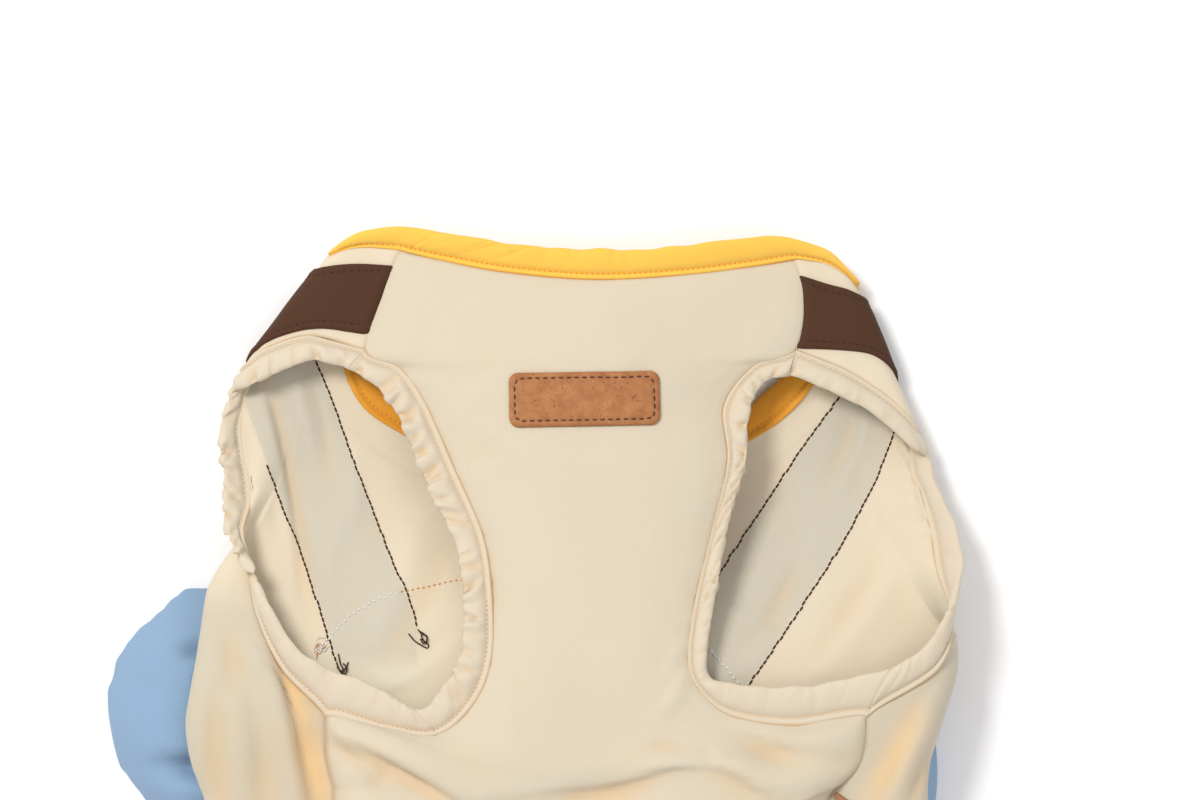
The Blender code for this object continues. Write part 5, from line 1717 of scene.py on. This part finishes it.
def twill_material(name, color, tint, ribs, slant, contrast, bump, sheen=0.15):
    """Twill cloth in one dye, paler along its ribs."""
    material, shader, w, place = start_material(name, 0.85, sheen)
    weave = w.group(TWILL, Coordinates=place, Ribs=ribs, Slant=slant)
    ribbed = w.mix(w.times(weave["Float"], contrast), color, tint)
    dyed = w.group(
        DYE, Coordinates=place, Color=ribbed, Patchy=0.05, Yarn=weave["Height"], Yarn_Contrast=0.1
    )
    w.put(shader.inputs["Base Color"], dyed["Color"])
    add_bump(w, shader, weave["Height"], bump, 0.6)
    return material


def leather_material(name, color, dark, pale):
    """Waxed leather with blotches, pores and a burnished look."""
    material, shader, w, place = start_material(name, 0.55)
    hide = w.group(HIDE, Coordinates=place, Grain=150.0, Blotch=20.0)
    blotched = w.mix(w.ranged(hide["Blotches"], 0.35, 0.7, 0.0, 1.0), color, pale)
    w.put(shader.inputs["Base Color"], w.mix(w.times(hide["Pores"], 0.7), blotched, dark))
    w.put(shader.inputs["Roughness"], w.ranged(hide["Blotches"], 0.3, 0.7, 0.62, 0.48))
    add_bump(w, shader, hide["Height"], 0.00012, 0.7)
    return material


def thread_material(name, color, tint):
    """Sewing thread: two plies, paler on top."""
    material, shader, w, place = start_material(name, 0.7, 0.1)
    x, y, _ = w.parts(place)
    ply = w.times_plus(w.wave(w.plus(w.times(x, 2.5), y)), 0.5, 0.5)
    w.put(shader.inputs["Base Color"], w.mix(ply, color, tint))
    add_bump(w, shader, ply, 0.0001, 0.6)
    return material


def srgb(red, green, blue):
    """A colour from the 0 to 255 values by which it was judged, in linear light."""
    line = [c / 255 for c in (red, green, blue)]
    return (*(c / 12.92 if c <= 0.04045 else ((c + 0.055) / 1.055) ** 2.4 for c in line), 1.0)


# The photograph's place over the vest, and the studio, in metres
FRAME_WIDTH = 0.384
FRAME_CENTRE = (0.0206, 0.1148)
CAMERA_HEIGHT = 2.6
CHEST_HEIGHT = 0.02  # where the frame is as wide as that
SENSOR_WIDTH = 36.0
FLOOR_HALF = 6.0
FLOOR_COLOR = (0.96, 0.96, 0.965, 1)
SKY_COLOR = (1.0, 0.98, 0.985, 1)
SKY_STRENGTH = 0.64
LIGHTS = (
    # name, place, size, power, colour
    ("key", (-1.05, 1.1, 2.15), 0.8, 45.0, (1.0, 0.985, 0.96)),
    ("fill", (1.1, -0.8, 2.3), 2.0, 12.0, (0.97, 0.98, 1.0)),
)


def make_floor():
    """A pale floor that isn't part of the vest."""
    mesh = bpy.data.meshes.new("floor")
    corners = [(x * FLOOR_HALF, y * FLOOR_HALF, 0) for x, y in ((-1, -1), (1, -1), (1, 1), (-1, 1))]
    mesh.from_pydata(corners, [], [(0, 1, 2, 3)])
    floor = bpy.data.objects.new("floor", mesh)
    bpy.context.scene.collection.objects.link(floor)
    material = bpy.data.materials.new("pale_floor")
    material.use_nodes = True
    shader = material.node_tree.nodes["Principled BSDF"]
    shader.inputs["Base Color"].default_value = FLOOR_COLOR
    shader.inputs["Roughness"].default_value = 0.9
    shader.inputs["Specular IOR Level"].default_value = 0.1
    mesh.materials.append(material)


def make_studio():
    """A straight-down camera and soft light from the upper left."""
    scene = bpy.context.scene
    scene.view_settings.view_transform = "Standard"
    camera = bpy.data.cameras.new("camera")
    camera.sensor_width = SENSOR_WIDTH
    camera.lens = SENSOR_WIDTH * (CAMERA_HEIGHT - CHEST_HEIGHT) / FRAME_WIDTH
    camera.clip_end = 50.0
    eye = bpy.data.objects.new("camera", camera)
    eye.location = (*FRAME_CENTRE, CAMERA_HEIGHT)
    scene.collection.objects.link(eye)
    scene.camera = eye

    world = bpy.data.worlds.new("studio")
    world.use_nodes = True
    sky = world.node_tree.nodes["Background"]
    sky.inputs["Color"].default_value = SKY_COLOR
    sky.inputs["Strength"].default_value = SKY_STRENGTH
    scene.world = world
    for name, place, size, power, color in LIGHTS:
        light = bpy.data.lights.new(name, "AREA")
        light.shape = "DISK"
        light.size = size
        light.energy = power
        light.color = color
        lamp = bpy.data.objects.new(name, light)
        lamp.location = place
        aim = Vector((*FRAME_CENTRE, 0.0)) - lamp.location
        lamp.rotation_euler = aim.to_track_quat("-Z", "Y").to_euler()
        scene.collection.objects.link(lamp)


make_floor()
make_studio()

# Warm painted shade for creases, seams and recesses
PAINTED_WARM_SHADE = srgb(212, 172, 116)
cream_knit = knit_material("cream_knit", srgb(204, 193, 171), [("painted_shade", PAINTED_WARM_SHADE)])
# The inside of the back gets painted shade: where the pack and the straps lie behind it, on the
# flaps under the armholes, and warm in creases and recesses
inside_knit = knit_material(
    "inside_knit",
    srgb(214, 201, 177),
    [
        ("painted_pack_shade", srgb(206, 198, 175)),
        ("painted_strap_shade", srgb(194, 187, 169)),
        ("painted_flap_shade", srgb(194, 184, 163)),
        ("painted_shade", PAINTED_WARM_SHADE),
        ("painted_recess_shade", srgb(226, 188, 132)),
    ],
)
binding_knit = knit_material("binding_knit", srgb(208, 195, 173), [("painted_shade", PAINTED_WARM_SHADE)], wales=170.0)
# Deeper orange painted shade in the band's gathers and where it lies inside the garment
yellow_knit = knit_material(
    "yellow_knit", srgb(236, 188, 76), [("painted_shade", srgb(216, 142, 36))], wales=160.0
)
brown_twill = twill_material(
    "brown_twill",
    srgb(68, 42, 27),
    srgb(86, 57, 38),
    ribs=210.0,
    slant=0.9,
    contrast=0.7,
    bump=0.00006,
    sheen=0.0,
)
blue_twill = twill_material(
    "blue_twill",
    srgb(120, 150, 181),
    srgb(156, 179, 202),
    ribs=105.0,
    slant=1.0,
    contrast=0.6,
    bump=0.00008,
)
label_leather = leather_material(
    "label_leather", srgb(156, 99, 58), dark=srgb(92, 54, 30), pale=srgb(178, 122, 76)
)
tab_leather = leather_material(
    "tab_leather", srgb(150, 104, 74), dark=srgb(96, 60, 38), pale=srgb(172, 124, 92)
)
brown_thread = thread_material("brown_thread", srgb(46, 20, 9), srgb(78, 38, 21))
cream_thread = thread_material("cream_thread", srgb(206, 192, 166), srgb(238, 230, 214))
white_thread = thread_material("white_thread", srgb(200, 198, 192), srgb(236, 234, 230))
orange_thread = thread_material("orange_thread", srgb(214, 138, 44), srgb(236, 168, 64))
# Tan thread, and also the painted shade of the needle holes between the binding stitches
hole_shade_and_tan_thread = thread_material("hole_shade_and_tan_thread", srgb(196, 130, 78), srgb(214, 152, 96))
label_thread = thread_material("label_thread", srgb(62, 36, 24), srgb(98, 62, 42))

front_grid, front_painted_shade = make_front_grid()
back_grid, back_rows, back_columns, back_painted_shade = make_back_grid()
kept_cells = back_cells(back_rows, back_columns)
front_cloth = Cloth(front_grid)
back_cloth = Cloth(back_grid, kept_cells)

# Lines of the strap stitches as they show on the inside of the back, and the seam of the pack
LEFT_OUTER_LINE = (
    (-94, 114), (-86.6, 94), (-81.1, 79), (-75, 64.2), (-72.2, 56.2), (-65.8, 37.4), (-63.4, 30.4),
)
LEFT_INNER_LINE = (
    (-73, 133), (-70.9, 127.3), (-65.1, 113.2), (-58.4, 94.3), (-51.4, 76.4), (-45.3, 61.4),
    (-41.4, 53.4), (-37.4, 40.9),
)
RIGHT_INNER_LINE = (
    (108, 128), (98.4, 116.7), (85, 98.2), (73.8, 81.2), (65.8, 69.4), (57.1, 56.2), (46, 40),
    (30, 18),
)
RIGHT_OUTER_LINE = (
    (119, 114), (115.4, 104.6), (109.9, 89.8), (103.8, 78.3), (98.1, 67.8), (88.5, 53.4),
    (78.6, 38.6), (68.6, 24.6), (66, 20.6),
)
PACK_SEAM_LEFT = (
    (-70.6, 34.2), (-66.1, 38.3), (-62.6, 42.5), (-57.8, 46.8), (-51.4, 50.5), (-43.4, 53.2),
    (-34.6, 54.8), (-23.8, 56.9), (-3.4, 57.8), (22, 54.6), (42, 46),
)
PACK_SEAM_RIGHT = (
    (46, 43.6), (51, 39.6), (55, 35.2), (59.6, 30.4), (63.5, 25.6), (68, 18),
)


def between(x, y, first, second, end_y, soft=0.5):
    """A mask that is 1 between two lines that run from top to bottom, down to a height."""
    sides = []
    for line in (first, second):
        line = np.array(line)[::-1]
        sides.append(np.interp(y, line[:, 1], line[:, 0]))
    low, high = np.minimum(*sides), np.maximum(*sides)
    return held((x - low) / soft) * held((high - x) / soft) * held((y - end_y) / 6 + 1)


# Recesses beside the flaps below the armholes, where a deep warm shade is painted
PAINTED_RECESSES = (
    # x0, y0, x1, y1, half_width, strength
    (-80, 30, -74, 13, 2.4, 0.7),
    (-74, 10, -67, -18, 5, 0.75),
    (122, 14, 107, -14, 4.2, 0.55),
)
STRAPS_END_Y = (34.0, 20.0)
# The painted shade of the pack seen through the bed starts to the left of this
PAINTED_PACK_SHADE_X = -28.0  # to the left of this the pack shows through the bed

back_x, back_y = back_grid[..., 0], back_grid[..., 1]
from_flap = np.minimum(back_columns, BACK_LAST_COLUMN - back_columns) - MID_ARC
on_bed = (from_flap[None] > 0) | (back_rows[:, None] < HORN_END_ROW)
on_bed = on_bed * held(back_rows - FOLD_ROW)[:, None]
# Painted shade where the straps behind show through the thin cloth of the bed, and a painted
# grey-green shade where the pack does
painted_strap_shade = between(back_x, back_y, LEFT_OUTER_LINE, LEFT_INNER_LINE, STRAPS_END_Y[0])
painted_strap_shade += between(back_x, back_y, RIGHT_INNER_LINE, RIGHT_OUTER_LINE, STRAPS_END_Y[1])
painted_strap_shade *= on_bed
pack_seam_x, pack_seam_y = np.array(PACK_SEAM_LEFT + PACK_SEAM_RIGHT).T
painted_pack_shade = held(np.interp(back_x, pack_seam_x, pack_seam_y) - back_y)
painted_pack_shade *= on_bed * held((PAINTED_PACK_SHADE_X - back_x) / 16)
off_bed = 1 - held(on_bed)

front = make_shell(
    "front_panel_look", front_grid, CLOTH, cream_knit, masks={"painted_shade": 0.5 * front_painted_shade}
)
back = make_shell(
    "back_panel_look",
    back_grid,
    CLOTH,
    inside_knit,
    keep=kept_cells,
    masks={
        # painted shade that darkens the flaps below the armholes
        "painted_flap_shade": off_bed * held(back_rows - 10)[:, None],
        "painted_shade": held(0.55 * back_painted_shade),
        "painted_recess_shade": np.clip(fold_height(PAINTED_RECESSES, back_x, back_y), 0, 0.9) * off_bed,
        "painted_strap_shade": painted_strap_shade,
        "painted_pack_shade": painted_pack_shade,
    },
)
neck, neck_lines = make_band(
    "neck_band_look",
    NECK_STATIONS,
    yellow_knit,
    step=0.6,
    gathers=110,
    strengths=NECK_GATHERS,
    gather_height=0.4,
    seed=41,
    full=0.9,
    join=(150.0, 0.45),
    # painted shade on the low parts of the band that lie inside the garment
    inside_shade=lambda points: 0.9 * held((6.6 - points[..., 2]) / 2),
)
left_binding, left_lines = make_band(
    "armhole_binding_left_look",
    LEFT_STATIONS,
    binding_knit,
    step=0.5,
    gathers=84,
    strengths=LEFT_GATHERS,
    gather_height=1.9,
    seed=42,
    full=1.0,
    join=(-68.0, 0.7),
)
right_binding, right_lines = make_band(
    "armhole_binding_right_look",
    RIGHT_STATIONS,
    binding_knit,
    step=0.5,
    gathers=90,
    strengths=RIGHT_GATHERS,
    gather_height=1.8,
    seed=43,
    full=1.0,
    join=(-70.0, 0.15),
)
left_strap, left_strap_lines = make_strap("left", back_cloth, brown_twill)
right_strap, right_strap_lines = make_strap("right", back_cloth, brown_twill)
label, label_line = make_label(front_cloth, label_leather)
tab = make_tab(back_cloth, tab_leather)
pack = make_pack(back_cloth, blue_twill)


def low_part(line, top):
    """The part of a line round an opening that lies below a height."""
    points, normals = line
    start = points[:, 1].argmax()
    points, normals = np.roll(points, -start, axis=0), np.roll(normals, -start, axis=0)
    low = points[:, 1] < top
    return points[low], normals[low]


NEEDLE_HOLES_TOP = 52.0
make_stitches("label_stitches", [label_line], label_thread, pitch=2.5, fill=0.66, radius=0.27)
make_stitches(
    "neck_stitches", neck_lines(0.12), orange_thread, pitch=1.7, fill=0.5, radius=0.2
)
make_stitches(
    "binding_stitches",
    left_lines(0.1) + right_lines(0.1),
    cream_thread,
    pitch=1.5,
    fill=0.55,
    radius=0.19,
)
# Painted shade of the needle holes: small dark beads between the binding stitches
make_stitches(
    "binding_needle_holes",
    [low_part(line, NEEDLE_HOLES_TOP) for line in left_lines(0.02) + right_lines(0.02)],
    hole_shade_and_tan_thread,
    pitch=1.5,
    fill=0.24,
    radius=0.2,
    arch=0.02,
    start=0.63,
)
make_stitches(
    "strap_stitches",
    left_strap_lines + right_strap_lines,
    brown_thread,
    pitch=2.2,
    fill=0.7,
    radius=0.2,
)
inside_routes = (LEFT_OUTER_LINE[1:], LEFT_INNER_LINE, RIGHT_INNER_LINE, RIGHT_OUTER_LINE)
make_stitches(
    "inside_strap_stitches",
    [back_cloth.inside_line(route) for route in inside_routes],
    brown_thread,
    pitch=2.0,
    fill=0.98,
    radius=0.34,
    arch=0.06,
    sway=0.1,
)
make_stitches(
    "pack_stitches",
    [back_cloth.inside_line(route) for route in (PACK_SEAM_LEFT[:6], PACK_SEAM_RIGHT)],
    white_thread,
    pitch=1.9,
    fill=0.72,
    radius=0.38,
    sway=0.2,
    seed=4,
)
make_stitches(
    "pack_stitches_tan",
    [back_cloth.inside_line(PACK_SEAM_LEFT[5:])],
    hole_shade_and_tan_thread,
    pitch=1.8,
    fill=0.55,
    radius=0.26,
    sway=0.06,
)


def tail(lift, *route):
    """A loose thread that lies on the inside of the bed along a route in plan."""
    spots = [back_cloth.at(x, y, from_below=True)[0] for x, y in route]
    lifts = CLOTH / 2 + 0.2 + lift * np.sin(np.linspace(0, math.pi, len(route)))
    return [(spot[0], spot[1], spot[2] + up) for spot, up in zip(spots, lifts)]


make_thread(
    "strap_thread_ends",
    [
        tail(0.6, (-37.6, 41.4), (-36.4, 40.0), (-34.8, 39.4), (-35.0, 37.4), (-36.4, 38.6)),
        tail(0.4, (-36.6, 39.6), (-35.6, 37.6), (-34.4, 36.8), (-34.2, 35.6)),
        tail(0.5, (-40.6, 40.0), (-38.6, 37.8), (-36.4, 36.4), (-34.6, 35.4)),
        tail(0.9, (-37.0, 40.8), (-35.4, 39.8), (-34.6, 38.2), (-35.8, 37.0), (-36.8, 38.4)),
        tail(0.3, (-63.6, 31.0), (-62.8, 28.8), (-61.8, 27.2), (-61.0, 25.8)),
        tail(0.6, (-63.0, 33.6), (-62.4, 30.8), (-61.6, 29.0), (-61.4, 26.6), (-60.2, 25.4)),
        tail(0.8, (-61.4, 30.6), (-60.2, 29.2), (-60.8, 27.4), (-61.6, 26.2)),
        tail(0.5, (-63.4, 29.4), (-61.8, 28.2), (-60.4, 29.6), (-59.8, 31.0)),
    ],
    brown_thread,
    radius=0.24,
)
make_thread(
    "pack_thread_ends",
    [
        tail(0.6, (-66.6, 37.0), (-68.4, 35.6), (-69.4, 37.2), (-70.6, 36.2)),
        tail(0.8, (-65.8, 38.4), (-67.8, 37.4), (-68.6, 34.8), (-69.6, 33.2)),
        tail(0.5, (-66.2, 36.2), (-67.6, 34.6), (-69.8, 35.4), (-71.0, 34.0)),
        tail(0.4, (-67.4, 38.6), (-69.0, 38.8), (-70.2, 38.0)),
    ],
    white_thread,
    radius=0.16,
)
make_thread(
    "pack_thread_ends_tan",
    [
        tail(0.5, (-67.2, 36.4), (-68.8, 34.4), (-70.0, 33.8), (-69.8, 32.0)),
        tail(0.7, (-66.8, 35.4), (-69.2, 36.6), (-70.8, 35.0)),
    ],
    hole_shade_and_tan_thread,
    radius=0.16,
)

for piece, node, finish in (
    (front, "front_panel", "cream_knit"),
    (back, "back_panel", "cream_knit"),
    (neck, "neck_band", "yellow_knit"),
    (left_binding, "armhole_binding_left", "binding_knit"),
    (right_binding, "armhole_binding_right", "binding_knit"),
    (left_strap, "shoulder_strap_left", "brown_twill"),
    (right_strap, "shoulder_strap_right", "brown_twill"),
    (label, "leather_label", "tan_leather"),
    (tab, "side_tab", "tab_leather"),
    (pack, "back_pack", "blue_twill"),
):
    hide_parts(node)

# The flat size of each cloth piece that shows, how it is held, and the panels it lies on
for piece, flat, held, under in (
    (neck, (0.412, 0.0100), "stretched", ["front_panel", "back_panel"]),
    (left_binding, (0.352, 0.0105), "gathered", ["front_panel", "back_panel"]),
    (right_binding, (0.340, 0.0100), "gathered", ["front_panel", "back_panel"]),
    (left_strap, (0.0250, 0.157), "laid", ["back_panel"]),
    (right_strap, (0.0235, 0.152), "laid", ["back_panel"]),
):
    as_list(under)
